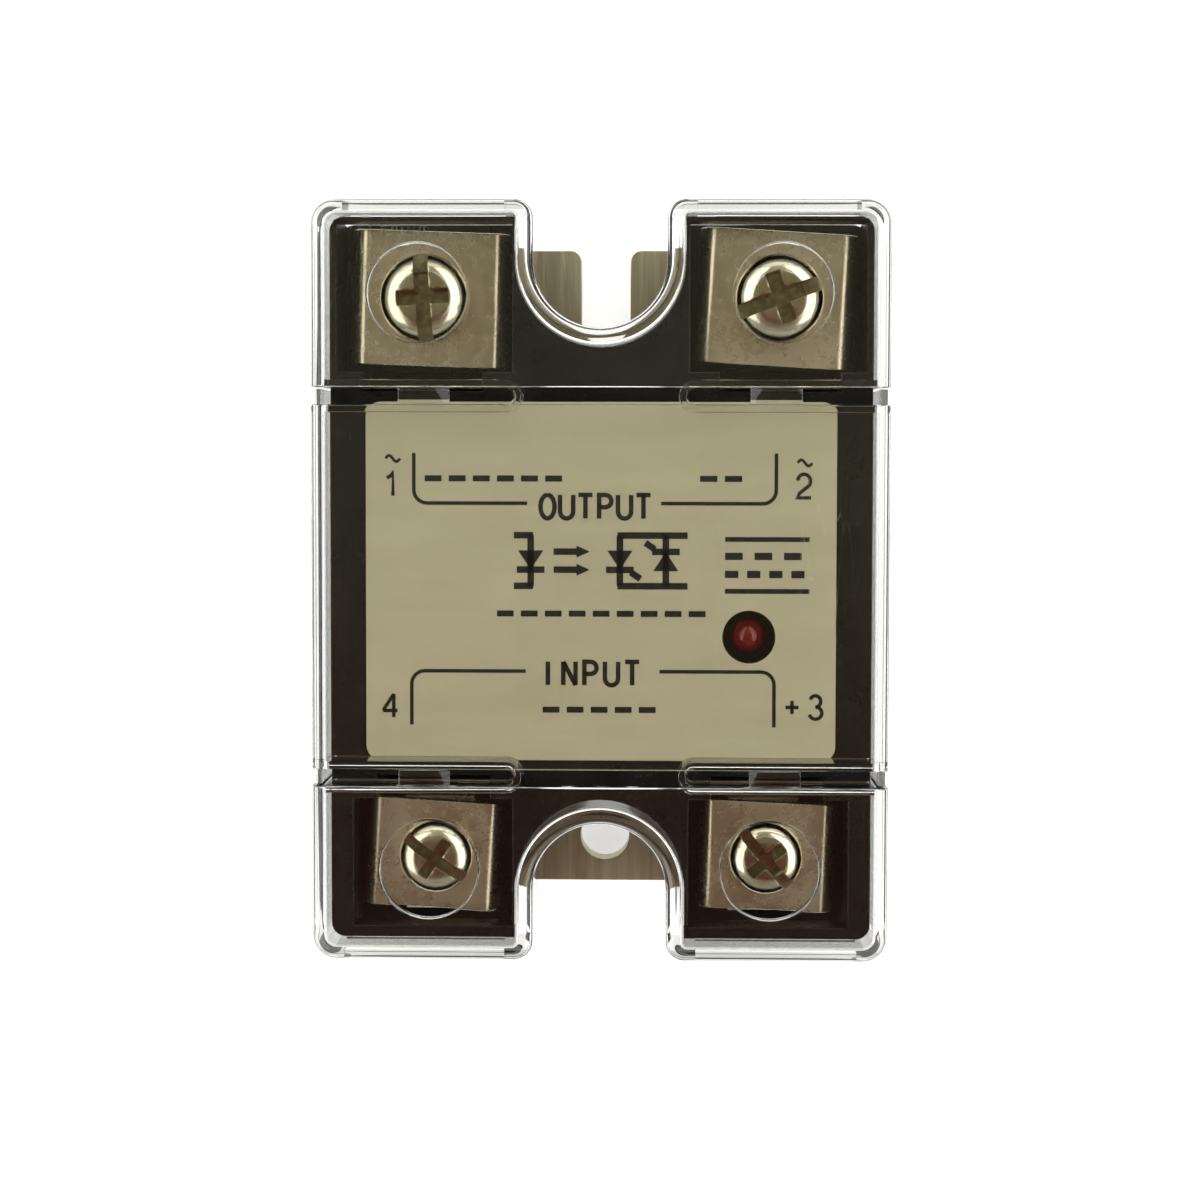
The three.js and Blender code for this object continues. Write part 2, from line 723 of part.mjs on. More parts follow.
// Bent terminal strip: a flat under the clamp, a leg down through the shelf and a foot.
function strip(terminal) {
  const { end } = terminal;
  const { side } = end;
  const { x, y } = screwPlace(terminal);
  const thick = end.stripThickness;
  const half = end.stripWidth / 2;
  const top = TERMINAL_FLOOR + thick;
  const legY = legStart(end);
  const outY = halfLength - BODY_WALL;
  const footEnd = legY - end.stripFoot;
  const footLevel = end === OUTPUT_END ? padTop : boardTop + SEAT;
  const bend = thick * 0.7;
  const outline = [
    [outY, TERMINAL_FLOOR],
    [outY, top],
    [legY + bend, top],
    [legY, top - bend],
    [legY, footLevel + thick],
    [footEnd, footLevel + thick],
    [footEnd, footLevel],
    [legY + thick - bend * 0.5, footLevel],
    [legY + thick, footLevel + bend * 0.5],
    [legY + thick, TERMINAL_FLOOR],
  ].map(([along, up]) => [along * side, up]);
  const body = crossRail(outline, x - half, x + half);
  const radius = end.threadDiameter / 2 + HOLE_CLEARANCE;
  const hole = cylinder(x, y, TERMINAL_FLOOR - 1, top + 1, radius, 40);
  return body.subtract(hole);
}

// ---------------------------------------------------------------------------
// Power stage on the base plate
// ---------------------------------------------------------------------------

const dieInset = substrateNearY + SUBSTRATE_LENGTH * 0.32;
const dieOuter = substrateNearY + SUBSTRATE_LENGTH * 0.6;
const diePlaces = [
  { name: "left", sign: -1, x: -substrateHalfWidth * 0.47, y: dieOuter - 0.6 },
  { name: "right", sign: 1, x: substrateHalfWidth * 0.47, y: dieInset - 0.6 },
];
const padGap = 1.6;
const STRAP_WIDTH = 3.6;
const STRAP_RISE = 1.9;
const STRAP_LANDING = 3.2;
const LEAD_RADIUS = 0.4;
const LEAD_OFFSET = 2.9;

function substrate() {
  const half = substrateHalfWidth;
  return box(-half, half, substrateNearY, substrateFarY, plateTop + SEAT, substrateTop);
}

function copperPad(sign) {
  const inner = (sign * padGap) / 2;
  const outer = sign * (substrateHalfWidth - 0.3);
  const near = substrateNearY + 0.5;
  const far = substrateFarY - 0.5;
  return box(inner, outer, near, far, substrateTop, padTop);
}

function die(place) {
  const half = DIE_SIZE / 2;
  const { x, y } = place;
  return box(x - half, x + half, y - half, y + half, padTop, dieTop);
}

// Copper bridge from the top of one die to the other pad.
function strap(place) {
  const { sign, x, y } = place;
  const t = STRAP_THICKNESS;
  const from = -Math.abs(x) - 1.6;
  const to = padGap / 2 + STRAP_LANDING;
  const rise = dieTop + STRAP_RISE;
  const outline = [
    [from, dieTop],
    [from + 3, dieTop],
    [from + 4.2, rise - t],
    [to - 4, rise - t],
    [to - 2.6, padTop],
    [to, padTop],
    [to, padTop + t],
    [to - 2.2, padTop + t],
    [to - 3.6, rise],
    [from + 3.9, rise],
    [from + 2.7, dieTop + t],
    [from, dieTop + t],
  ].map(([across, up]) => [-sign * across, up]);
  return rail(outline, y - STRAP_WIDTH / 2, y + STRAP_WIDTH / 2);
}

function gateLead(place) {
  const x = place.x + place.sign * LEAD_OFFSET;
  const y = place.y - LEAD_OFFSET;
  return cylinder(x, y, dieTop, BOARD_LEVEL, LEAD_RADIUS, 12);
}

// ---------------------------------------------------------------------------
// Control board and its parts
// ---------------------------------------------------------------------------

const boardNearY = inputWallY + 0.4;
const boardFarY = outputWallY - 0.4;

function board() {
  const half = halfWidth - BOARD_MARGIN;
  return box(-half, half, boardNearY, boardFarY, BOARD_LEVEL, boardTop);
}

// An axial part lying along X on two bent leads.
function axialPart(x, y, radius, length, span) {
  const level = boardTop + radius + 0.5;
  const lead = 0.3;
  const half = length / 2;
  const capRadius = radius * 1.12;
  let body = lyingCylinder(x - half, x + half, y, level, radius);
  body = body.add(lyingCylinder(x - half, x - half + 1, y, level, capRadius));
  body = body.add(lyingCylinder(x + half - 1, x + half, y, level, capRadius));
  const reach = span / 2;
  body = body.add(box(x - reach, x + reach, y - lead, y + lead, level - lead, level + lead));
  [-1, 1].forEach((sign) => {
    const at = x + sign * (reach - lead);
    body = body.add(box(at - lead, at + lead, y - lead, y + lead, boardTop, level));
  });
  return body;
}

// A dual-in-line package on six legs.
function optocoupler(x, y) {
  const level = boardTop + 0.6;
  let body = box(x - 4.2, x + 4.2, y - 3.2, y + 3.2, level, level + 3.3);
  [-2.54, 0, 2.54].forEach((along) => {
    [-1, 1].forEach((sign) => {
      const shoulder = y + sign * 3.7;
      const legX = x + along;
      const z = level + 1.5;
      body = body.add(box(legX - 0.6, legX + 0.6, y + sign * 3, shoulder, z, z + 0.3));
      body = body.add(
        box(legX - 0.25, legX + 0.25, shoulder - sign * 0.3, shoulder, boardTop, z + 0.3),
      );
    });
  });
  return body;
}

function capacitor(x, y) {
  let body = box(x - 6.5, x + 6.5, y - 2.5, y + 2.5, boardTop + 0.4, boardTop + 8.6);
  [-5, 5].forEach((along) => {
    body = body.add(box(x + along - 0.3, x + along + 0.3, y - 0.3, y + 0.3, boardTop, boardTop + 1));
  });
  return body;
}

function transistor(x, y) {
  const points = [];
  arc(points, x, y, 2.3, -35, 215, 20);
  const level = boardTop + 2;
  let body = prism(points, level, level + 4.6);
  [-1.27, 0, 1.27].forEach((along) => {
    const at = x + along;
    body = body.add(box(at - 0.22, at + 0.22, y - 0.22, y + 0.22, boardTop, level + 0.5));
  });
  return body;
}

// Round-topped lamp on two leads, standing in its hole in the roof.
function lamp() {
  const radius = LAMP_DIAMETER / 2;
  const level = BODY_TOP - 5.6;
  const straight = BODY_TOP - 0.7 - radius;
  const profile = [
    [0, level],
    [radius + 0.4, level],
    [radius + 0.4, level + 1],
    [radius, level + 1],
    [radius, straight],
  ];
  for (let i = 1; i <= 6; i += 1) {
    const angle = (Math.PI / 2) * (i / 6);
    profile.push([radius * Math.cos(angle), straight + radius * Math.sin(angle)]);
  }
  profile[profile.length - 1][0] = 0;
  let body = turned(profile, 32, LAMP_X, LAMP_Y);
  const wire = 0.25;
  [-1.27, 1.27].forEach((along) => {
    const x = LAMP_X + along;
    body = body.add(box(x - wire, x + wire, LAMP_Y - wire, LAMP_Y + wire, boardTop, level + 0.4));
  });
  return body;
}

// ---------------------------------------------------------------------------
// Potting: fills the shell up to the board, open below over the power stage
// ---------------------------------------------------------------------------

function potting() {
  const gap = POTTING_CLEARANCE;
  const bottom = plateTop + SEAT;
  const top = BOARD_LEVEL - SEAT;
  let fill = cavity(bottom, top, gap);
  const clear = (x0, x1, y0, y1, z0, z1) => {
    const lowX = Math.min(x0, x1) - gap;
    const highX = Math.max(x0, x1) + gap;
    const lowY = Math.min(y0, y1) - gap;
    const highY = Math.max(y0, y1) + gap;
    fill = fill.subtract(box(lowX, highX, lowY, highY, z0 - gap, z1 + gap));
  };
  const half = substrateHalfWidth;
  clear(-half, half, substrateNearY, substrateFarY, bottom - 1, padTop);
  diePlaces.forEach((place) => {
    const { sign, x, y } = place;
    const side = DIE_SIZE / 2;
    clear(x - side, x + side, y - side, y + side, padTop - 1, dieTop);
    const from = x + sign * 1.6;
    const to = -sign * (padGap / 2 + STRAP_LANDING);
    const wide = STRAP_WIDTH / 2;
    clear(from, to, y - wide, y + wide, padTop - 1, dieTop + STRAP_RISE);
    const leadX = x + sign * LEAD_OFFSET;
    const leadY = y - LEAD_OFFSET;
    fill = fill.subtract(cylinder(leadX, leadY, dieTop - 1, top + 1, LEAD_RADIUS + gap, 12));
  });
  TERMINALS.filter((terminal) => terminal.end === OUTPUT_END).forEach((terminal) => {
    const { end } = terminal;
    const { x } = screwPlace(terminal);
    const reach = end.stripWidth / 2;
    const legY = legStart(end);
    const thick = end.stripThickness;
    const footY = legY - end.stripFoot;
    clear(x - reach, x + reach, legY, legY + thick, padTop - 0.6, top + 1);
    clear(x - reach, x + reach, footY, legY + thick, padTop - 0.6, padTop + thick);
  });
  return fill;
}

// ---------------------------------------------------------------------------
// Assembly
// ---------------------------------------------------------------------------

addPart("base_plate", basePlate(), "plate");
addPart("housing", housing(), "housing");
addPart("label", label(), "label");

addPart("cover_centre", coverCentre(), "clear");
addPart("flap_output", flap(OUTPUT_END, outputFlapEdge, outputNotchY), "clear");
addPart("flap_input", flap(INPUT_END, inputFlapEdge, inputNotchY), "clear");
[["left", -1], ["right", 1]].forEach(([word, sign]) => {
  addPart("hinge_tab_output_" + word, hingeTab(sign, outputCentreEdge, outputFlapEdge), "clear");
  addPart("hinge_tab_input_" + word, hingeTab(sign, inputCentreEdge, inputFlapEdge), "clear");
});

TERMINALS.forEach((terminal) => {
  const { number, end } = terminal;
  const stand = terminalGroup(terminal);
  const clampPart = addPart("clamp_" + number, clamp(terminal), "nickel", stand);
  clampPart.rotation.z = THREE.MathUtils.degToRad(terminal.clampTurn);
  const screwPart = addPart("screw_" + number, screw(end), "screw", stand);
  screwPart.rotation.z = THREE.MathUtils.degToRad(terminal.slotTurn);
  addPart("nut_" + number, nut(end), "tinned", stand);
  addPart("terminal_strip_" + number, strip(terminal), "brass");
});

addPart("ceramic_substrate", substrate(), "ceramic");
diePlaces.forEach((place) => {
  addPart("copper_pad_" + place.name, copperPad(place.sign), "copper");
  addPart("thyristor_" + place.name, die(place), "silicon");
  addPart("strap_" + place.name, strap(place), "copper");
  addPart("gate_lead_" + place.name, gateLead(place), "tinned");
});

const boardMiddleY = (boardNearY + boardFarY) / 2;
addPart("circuit_board", board(), "board");
addPart("optocoupler", optocoupler(-8, boardMiddleY + 1.2), "package");
addPart("snubber_capacitor", capacitor(0, boardFarY - 3.4), "capacitor");
addPart("snubber_resistor", axialPart(8.6, boardMiddleY + 4.6, 1.7, 9, 14), "powerResistor");
addPart("gate_resistor_left", axialPart(6, boardMiddleY - 0.6, 0.9, 4.6, 8.6), "resistor");
addPart("gate_resistor_right", axialPart(-14, boardFarY - 2, 0.9, 4.6, 7.4), "resistor");
addPart("input_resistor", axialPart(-9.5, boardMiddleY - 6.2, 1.1, 6, 9.6), "resistor");
addPart("input_diode", axialPart(1.5, boardMiddleY - 10.6, 1.2, 5, 9), "package");
addPart("input_transistor", transistor(2.5, boardMiddleY - 5.6), "package");
addPart("led", lamp(), "lamp");
addPart("potting", potting(), "potting");

export default relay;
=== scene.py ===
import json
import math

import bmesh
import bpy
from mathutils import Matrix, Vector


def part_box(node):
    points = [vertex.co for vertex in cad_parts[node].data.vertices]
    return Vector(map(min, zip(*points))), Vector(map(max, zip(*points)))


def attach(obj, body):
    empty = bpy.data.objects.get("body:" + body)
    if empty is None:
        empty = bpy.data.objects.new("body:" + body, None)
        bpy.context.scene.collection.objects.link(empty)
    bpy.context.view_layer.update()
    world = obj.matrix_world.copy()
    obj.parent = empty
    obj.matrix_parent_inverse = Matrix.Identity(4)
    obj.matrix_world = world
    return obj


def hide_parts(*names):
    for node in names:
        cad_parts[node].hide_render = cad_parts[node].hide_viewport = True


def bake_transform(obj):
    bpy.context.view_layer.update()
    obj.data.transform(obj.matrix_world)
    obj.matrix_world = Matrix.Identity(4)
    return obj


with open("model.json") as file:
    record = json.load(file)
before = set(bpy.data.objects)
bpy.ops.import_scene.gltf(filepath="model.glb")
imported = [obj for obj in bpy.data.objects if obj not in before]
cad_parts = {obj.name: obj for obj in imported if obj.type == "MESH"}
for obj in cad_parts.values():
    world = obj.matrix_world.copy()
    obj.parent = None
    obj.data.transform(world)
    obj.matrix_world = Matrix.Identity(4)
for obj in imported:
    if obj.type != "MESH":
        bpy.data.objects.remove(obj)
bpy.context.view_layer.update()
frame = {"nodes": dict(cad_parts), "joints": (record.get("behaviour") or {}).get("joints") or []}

MM = 0.001
JOINTS = {joint["name"]: joint for joint in frame["joints"]}


def span(node):
    """Lowest and highest corner of a CAD node, in millimetres."""
    low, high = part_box(node)
    return [v / MM for v in low], [v / MM for v in high]


# --- Sizes in millimetres, taken from the frame or shared by several pieces ---

CENTRE_LOW, CENTRE_HIGH = span("cover_centre")
OUTPUT_LOW, OUTPUT_HIGH = span("flap_output")
INPUT_LOW, INPUT_HIGH = span("flap_input")
OUTPUT_TAB_LOW = span("hinge_tab_output_left")[0]
INPUT_TAB_HIGH = span("hinge_tab_input_left")[1]
LABEL_LOW, LABEL_HIGH = span("label")
LAMP_LOW, LAMP_HIGH = span("led")

COVER_HALF = CENTRE_HIGH[0]
COVER_TOP = CENTRE_HIGH[2]
COVER_SKIRT = CENTRE_LOW[2]
COVER_WALL = 0.9
COVER_END_SKIRT = 5
COVER_CORNER = 2
COVER_ROUND = 0.75
COVER_INNER_ROUND = 0.3
COVER_RIM = 0.12
JOINT_SLIP = 0.2
COLLAR_WALL = 1.15
COLLAR_RADIUS = 5.45
MOUTH_CORNER = 1.5
LEDGE_THICKNESS = 0.65
LEDGE_START = 6.4
ACCESS_RADIUS = 4
NOTCH_RADIUS = 6.85
OUTPUT_NOTCH_Y = 26.1
INPUT_NOTCH_Y = -25.25

OUTPUT_TERMINAL = {
    "clamp_width": 13.4,
    "clamp_length": 11.3,
    "clamp_thickness": 1.0,
    "clamp_bend": 1.5,
    "clamp_top": 20.6,
    "foot": 17.45,
    "thread": 2.0,
    "head": 3.7,
    "head_height": 2.6,
    "blade": 1.25,
    "pitch": 0.7,
}
INPUT_TERMINAL = {
    "clamp_width": 11.5,
    "clamp_length": 9.2,
    "clamp_thickness": 0.8,
    "clamp_bend": 1.25,
    "clamp_top": 20.4,
    "foot": 17.25,
    "thread": 1.5,
    "head": 3.1,
    "head_height": 2.3,
    "blade": 0.95,
    "pitch": 0.5,
}
# Number, hardware, the clamp's shift, its turn and the driver slot's turn in degrees
TERMINALS = (
    (1, OUTPUT_TERMINAL, 0.35, -2, 94),
    (2, OUTPUT_TERMINAL, -0.15, -3.5, 20),
    (3, INPUT_TERMINAL, 0.1, -2.5, -50),
    (4, INPUT_TERMINAL, -0.35, -3.5, -35),
)


# --- Mesh helpers ---

def arc(x, y, radius, start, end, steps):
    """Points along an arc, with angles in degrees."""
    points = []
    for i in range(steps + 1):
        angle = math.radians(start + (end - start) * i / steps)
        points.append((x + radius * math.cos(angle), y + radius * math.sin(angle)))
    return points


def rounded_rectangle(x0, x1, y0, y1, radius, steps=8):
    return (
        arc(x1 - radius, y0 + radius, radius, -90, 0, steps)
        + arc(x1 - radius, y1 - radius, radius, 0, 90, steps)
        + arc(x0 + radius, y1 - radius, radius, 90, 180, steps)
        + arc(x0 + radius, y0 + radius, radius, 180, 270, steps)
    )


def loft(bm, rings):
    """Skins a stack of closed rings and closes both ends."""
    rows = [[bm.verts.new(point) for point in ring] for ring in rings]
    count = len(rows[0])
    for low, high in zip(rows, rows[1:]):
        for i in range(count):
            j = (i + 1) % count
            bm.faces.new((low[i], low[j], high[j], high[i]))
    bm.faces.new(list(reversed(rows[0])))
    bm.faces.new(rows[-1])


def revolve(bm, profile, x=0.0, y=0.0, segments=48):
    """Turns a profile of (radius, height) about an upright axis; ends with radius 0 close."""
    rows = []
    for radius, height in profile:
        if radius < 1e-6:
            rows.append([bm.verts.new((x, y, height))])
            continue
        ring = arc(x, y, radius, 0, 360 * (segments - 1) / segments, segments - 1)
        rows.append([bm.verts.new((px, py, height)) for px, py in ring])
    for low, high in zip(rows, rows[1:]):
        for i in range(segments):
            j = (i + 1) % segments
            if len(low) == 1 and len(high) == 1:
                continue
            if len(low) == 1:
                bm.faces.new((low[0], high[j], high[i]))
            elif len(high) == 1:
                bm.faces.new((low[i], low[j], high[0]))
            else:
                bm.faces.new((low[i], low[j], high[j], high[i]))


def stack(bm, levels, plan):
    """Skins the plans of a rising list of (height, inset) levels."""
    loft(bm, [[(x, y, z) for x, y in plan(inset)] for z, inset in levels])


def block(bm, x0, x1, y0, y1, z0, z1):
    loft(bm, [[(x, y, z) for x, y in ((x0, y0), (x1, y0), (x1, y1), (x0, y1))] for z in (z0, z1)])


def quarter_round(steps=6):
    """Pairs of (inset, rise), both from 0 to 1, along a quarter circle."""
    for i in range(1, steps + 1):
        angle = math.pi / 2 * i / steps
        yield 1 - math.cos(angle), math.sin(angle)


def put(name, data):
    """A new object in the scene."""
    made = bpy.data.objects.new(name, data)
    bpy.context.scene.collection.objects.link(made)
    return made


def solid(name, build):
    """A new object whose mesh is built in millimetres."""
    bm = bmesh.new()
    build(bm)
    mesh = bpy.data.meshes.new(name)
    bm.to_mesh(mesh)
    bm.free()
    mesh.transform(Matrix.Scale(MM, 4))
    return put(name, mesh)


def settle(piece):
    """Bakes a piece's modifiers into a plain mesh."""
    bpy.context.view_layer.update()
    graph = bpy.context.evaluated_depsgraph_get()
    mesh = bpy.data.meshes.new_from_object(piece.evaluated_get(graph))
    piece.modifiers.clear()
    old = piece.data
    piece.data = mesh
    mesh.name = piece.name
    bpy.data.meshes.remove(old)
    return piece


def combine(piece, other, operation):
    """Joins another solid to a piece, or cuts it away, and throws the other away."""
    cut = piece.modifiers.new("cut", "BOOLEAN")
    cut.operation = operation
    cut.solver = "MANIFOLD"
    cut.object = other
    settle(piece)
    spare = other.data
    bpy.data.objects.remove(other)
    bpy.data.meshes.remove(spare)
    return piece


def cut_away(piece, build):
    return combine(piece, solid("cutter", build), "DIFFERENCE")


def join_on(piece, build):
    return combine(piece, solid("addition", build), "UNION")


def tidy_mesh(piece, join=1e-7, flat=0.2):
    """Merges doubled corners and dissolves needless edges in flat faces."""
    bm = bmesh.new()
    bm.from_mesh(piece.data)
    bmesh.ops.remove_doubles(bm, verts=bm.verts, dist=join)
    bmesh.ops.dissolve_limit(
        bm, angle_limit=math.radians(flat), verts=bm.verts, edges=bm.edges
    )
    bm.to_mesh(piece.data)
    bm.free()


def round_edges(piece, width, segments=2, sharper_than=35, where=None, clamp=True):
    """Rounds a piece's sharp edges; where picks edges by their middle in millimetres."""
    bm = bmesh.new()
    bm.from_mesh(piece.data)
    edges = []
    for edge in bm.edges:
        if len(edge.link_faces) != 2:
            continue
        if edge.calc_face_angle(0) < math.radians(sharper_than):
            continue
        middle = (edge.verts[0].co + edge.verts[1].co) / 2 / MM
        if where is None or where(middle):
            edges.append(edge)
    bmesh.ops.bevel(
        bm,
        geom=edges,
        offset=width * MM,
        segments=segments,
        profile=0.5,
        affect="EDGES",
        clamp_overlap=clamp,
    )
    bm.to_mesh(piece.data)
    bm.free()


def smooth(piece, angle=35):
    """Smooth shading that stays flat on flat faces and breaks at sharp edges."""
    mesh = piece.data
    for face in mesh.polygons:
        face.use_smooth = True
    mesh.set_sharp_from_angle(angle=math.radians(angle))
    normals = piece.modifiers.new("even normals", "WEIGHTED_NORMAL")
    normals.mode = "FACE_AREA"
    normals.keep_sharp = True
    normals.weight = 60
    return settle(piece)


def dress(piece, material, body="relay_body", nodes=()):
    """Gives a finished piece its material, body and the nodes it stands for."""
    piece.data.materials.clear()
    piece.data.materials.append(material)
    if body:
        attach(piece, body)
    if nodes:
        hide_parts(*nodes)
    return piece


def refined_copy(node, name, width, segments=2, sharper_than=35, where=None, clamp=True):
    """A merged copy of a CAD node with its edges rounded."""
    mesh = frame["nodes"][node].data.copy()
    mesh.name = name
    piece = put(name, mesh)
    tidy_mesh(piece, join=2e-6, flat=0.5)
    round_edges(piece, width, segments, sharper_than, where, clamp)
    return piece


# --- Shader groups shared by several materials ---

class Nodes:
    """Short way to add and link nodes in one tree."""

    def __init__(self, tree):
        self.tree = tree

    def add(self, kind, **settings):
        node = self.tree.nodes.new(kind)
        for key, value in settings.items():
            setattr(node, key, value)
        return node

    def link(self, source, target):
        self.tree.links.new(source, target)

    def feed(self, socket, value):
        if isinstance(value, bpy.types.NodeSocket):
            self.link(value, socket)
        else:
            socket.default_value = value

    def maths(self, operation, *values):
        node = self.add("ShaderNodeMath", operation=operation)
        for socket, value in zip(node.inputs, values):
            self.feed(socket, value)
        return node.outputs[0]

    def noise(self, vector, scale, detail=3.0, roughness=0.5):
        node = self.add("ShaderNodeTexNoise")
        self.feed(node.inputs["Vector"], vector)
        self.feed(node.inputs["Scale"], scale)
        self.feed(node.inputs["Detail"], detail)
        self.feed(node.inputs["Roughness"], roughness)
        return node.outputs["Fac"]

    def remap(self, value, low, high, to_low, to_high):
        node = self.add("ShaderNodeMapRange")
        for socket, entry in zip(node.inputs, (value, low, high, to_low, to_high)):
            self.feed(socket, entry)
        return node.outputs[0]

    def mix(self, factor, a, b):
        node = self.add("ShaderNodeMix", data_type="RGBA")
        self.feed(node.inputs[0], factor)
        self.feed(node.inputs[6], a)
        self.feed(node.inputs[7], b)
        return node.outputs[2]

    def place(self, vector, location=(0, 0, 0), turn=(0, 0, 0), scale=(1, 1, 1)):
        node = self.add("ShaderNodeMapping")
        self.feed(node.inputs["Vector"], vector)
        node.inputs["Location"].default_value = location
        node.inputs["Rotation"].default_value = [math.radians(v) for v in turn]
        node.inputs["Scale"].default_value = scale
        return node.outputs[0]


def shader_group(name, inputs, outputs):
    """An empty shader group with named sockets, and its ends."""
    tree = bpy.data.node_groups.new(name, "ShaderNodeTree")
    for label, value in inputs:
        kind = "Vector" if value is None else "Color" if isinstance(value, tuple) else "Float"
        made = tree.interface.new_socket(label, in_out="INPUT", socket_type=f"NodeSocket{kind}")
        if value is not None:
            made.default_value = value
    for label, kind in outputs:
        tree.interface.new_socket(label, in_out="OUTPUT", socket_type=kind)
    nodes = Nodes(tree)
    return nodes, nodes.add("NodeGroupInput"), nodes.add("NodeGroupOutput")


def make_grain_group():
    """Fine surface grain: an uneven roughness and a height for bump."""
    inputs = (("Vector", None), ("Scale", 900.0), ("Smooth", 0.25), ("Rough", 0.45))
    outputs = (("Roughness", "NodeSocketFloat"), ("Height", "NodeSocketFloat"))
    nodes, start, end = shader_group("surface grain", inputs, outputs)
    vector = start.outputs["Vector"]
    fine = nodes.noise(vector, start.outputs["Scale"], 3.0, 0.6)
    wide_scale = nodes.maths("MULTIPLY", start.outputs["Scale"], 0.11)
    wide = nodes.noise(vector, wide_scale, 2.0, 0.5)
    both = nodes.maths("ADD", nodes.maths("MULTIPLY", fine, 0.45), nodes.maths("MULTIPLY", wide, 0.55))
    rough = nodes.remap(both, 0.3, 0.7, start.outputs["Smooth"], start.outputs["Rough"])
    nodes.link(rough, end.inputs["Roughness"])
    nodes.link(fine, end.inputs["Height"])
    return nodes.tree


def make_tone_group():
    """Slow drift between two tones of one colour."""
    inputs = (
        ("Vector", None),
        ("Scale", 120.0),
        ("Light", (0.5, 0.5, 0.5, 1.0)),
        ("Dark", (0.3, 0.3, 0.3, 1.0)),
    )
    nodes, start, end = shader_group("tone drift", inputs, (("Color", "NodeSocketColor"),))
    drift = nodes.noise(start.outputs["Vector"], start.outputs["Scale"], 4.0, 0.55)
    share = nodes.remap(drift, 0.32, 0.68, 0.0, 1.0)
    nodes.link(nodes.mix(share, start.outputs["Dark"], start.outputs["Light"]), end.inputs["Color"])
    return nodes.tree


def make_speck_group():
    """Scattered dust specks and tiny pits."""
    inputs = (("Vector", None), ("Scale", 700.0), ("Size", 0.12), ("Share", 0.5))
    nodes, start, end = shader_group("dust specks", inputs, (("Mask", "NodeSocketFloat"),))
    cells = nodes.add("ShaderNodeTexVoronoi")
    nodes.link(start.outputs["Vector"], cells.inputs["Vector"])
    nodes.link(start.outputs["Scale"], cells.inputs["Scale"])
    near = nodes.maths("LESS_THAN", cells.outputs["Distance"], start.outputs["Size"])
    patchy = nodes.noise(start.outputs["Vector"], 260.0, 2.0)
    kept = nodes.maths("GREATER_THAN", patchy, start.outputs["Share"])
    nodes.link(nodes.maths("MULTIPLY", near, kept), end.inputs["Mask"])
    return nodes.tree


def make_scratch_group():
    """Fine straight scratches in one direction."""
    inputs = (("Vector", None), ("Scale", 500.0), ("Width", 0.02), ("Share", 0.55))
    nodes, start, end = shader_group("hairline scratches", inputs, (("Mask", "NodeSocketFloat"),))
    cells = nodes.add("ShaderNodeTexVoronoi", feature="DISTANCE_TO_EDGE", voronoi_dimensions="2D")
    nodes.link(start.outputs["Vector"], cells.inputs["Vector"])
    nodes.link(start.outputs["Scale"], cells.inputs["Scale"])
    line = nodes.maths("LESS_THAN", cells.outputs["Distance"], start.outputs["Width"])
    patchy = nodes.noise(start.outputs["Vector"], 90.0, 2.0)
    kept = nodes.maths("GREATER_THAN", patchy, start.outputs["Share"])
    nodes.link(nodes.maths("MULTIPLY", line, kept), end.inputs["Mask"])
    return nodes.tree


GRAIN = make_grain_group()
TONE = make_tone_group()
SPECKS = make_speck_group()
SCRATCHES = make_scratch_group()


# --- Materials ---

class Finish:
    """One material with a Principled shader fed by Object coordinates."""

    def __init__(self, name, **plain):
        self.material = bpy.data.materials.new(name)
        self.material.use_nodes = True
        tree = self.material.node_tree
        tree.nodes.clear()
        self.nodes = Nodes(tree)
        self.output = self.nodes.add("ShaderNodeOutputMaterial")
        self.shader = self.nodes.add("ShaderNodeBsdfPrincipled")
        self.nodes.link(self.shader.outputs[0], self.output.inputs["Surface"])
        self.coords = self.nodes.add("ShaderNodeTexCoord").outputs["Object"]
        for key, value in plain.items():
            self.shader.inputs[key.replace("_", " ")].default_value = value

    def group(self, tree, vector=None, **values):
        node = self.nodes.add("ShaderNodeGroup")
        node.node_tree = tree
        self.nodes.link(vector or self.coords, node.inputs["Vector"])
        for key, value in values.items():
            node.inputs[key].default_value = value
        return node.outputs

    def tone(self, scale, light, dark, vector=None):
        """A colour that drifts between two tones."""
        return self.group(TONE, vector, Scale=scale, Light=light + (1,), Dark=dark + (1,))["Color"]

    def speckled(self, tone, scale, size, share, strength, speck):
        """A tone with scattered specks of another colour."""
        mask = self.group(SPECKS, Scale=scale, Size=size, Share=share)["Mask"]
        return self.nodes.mix(self.nodes.maths("MULTIPLY", mask, strength), tone, speck + (1,))

    def surface(self, grain, smoothness, strength, distance=0.0001, vector=None):
        """Uneven gloss and a fine bump from one grain."""
        low, high = smoothness
        fine = self.group(GRAIN, vector, Scale=grain, Smooth=low, Rough=high)
        self.roughness(fine["Roughness"])
        self.bump(fine["Height"], strength, distance)

    def colour(self, source):
        self.nodes.link(source, self.shader.inputs["Base Color"])

    def roughness(self, source):
        self.nodes.link(source, self.shader.inputs["Roughness"])

    def bump(self, height, strength, distance=0.0001):
        node = self.nodes.add("ShaderNodeBump")
        node.inputs["Strength"].default_value = strength
        node.inputs["Distance"].default_value = distance
        self.nodes.link(height, node.inputs["Height"])
        self.nodes.link(node.outputs[0], self.shader.inputs["Normal"])


def plain_finish(name, light, dark, smoothness, scale, grain, bump, **plain):
    """A material with drifting tone, uneven gloss and fine bump."""
    finish = Finish(name, **plain)
    finish.colour(finish.tone(scale, light, dark))
    finish.surface(grain, smoothness, bump)
    return finish


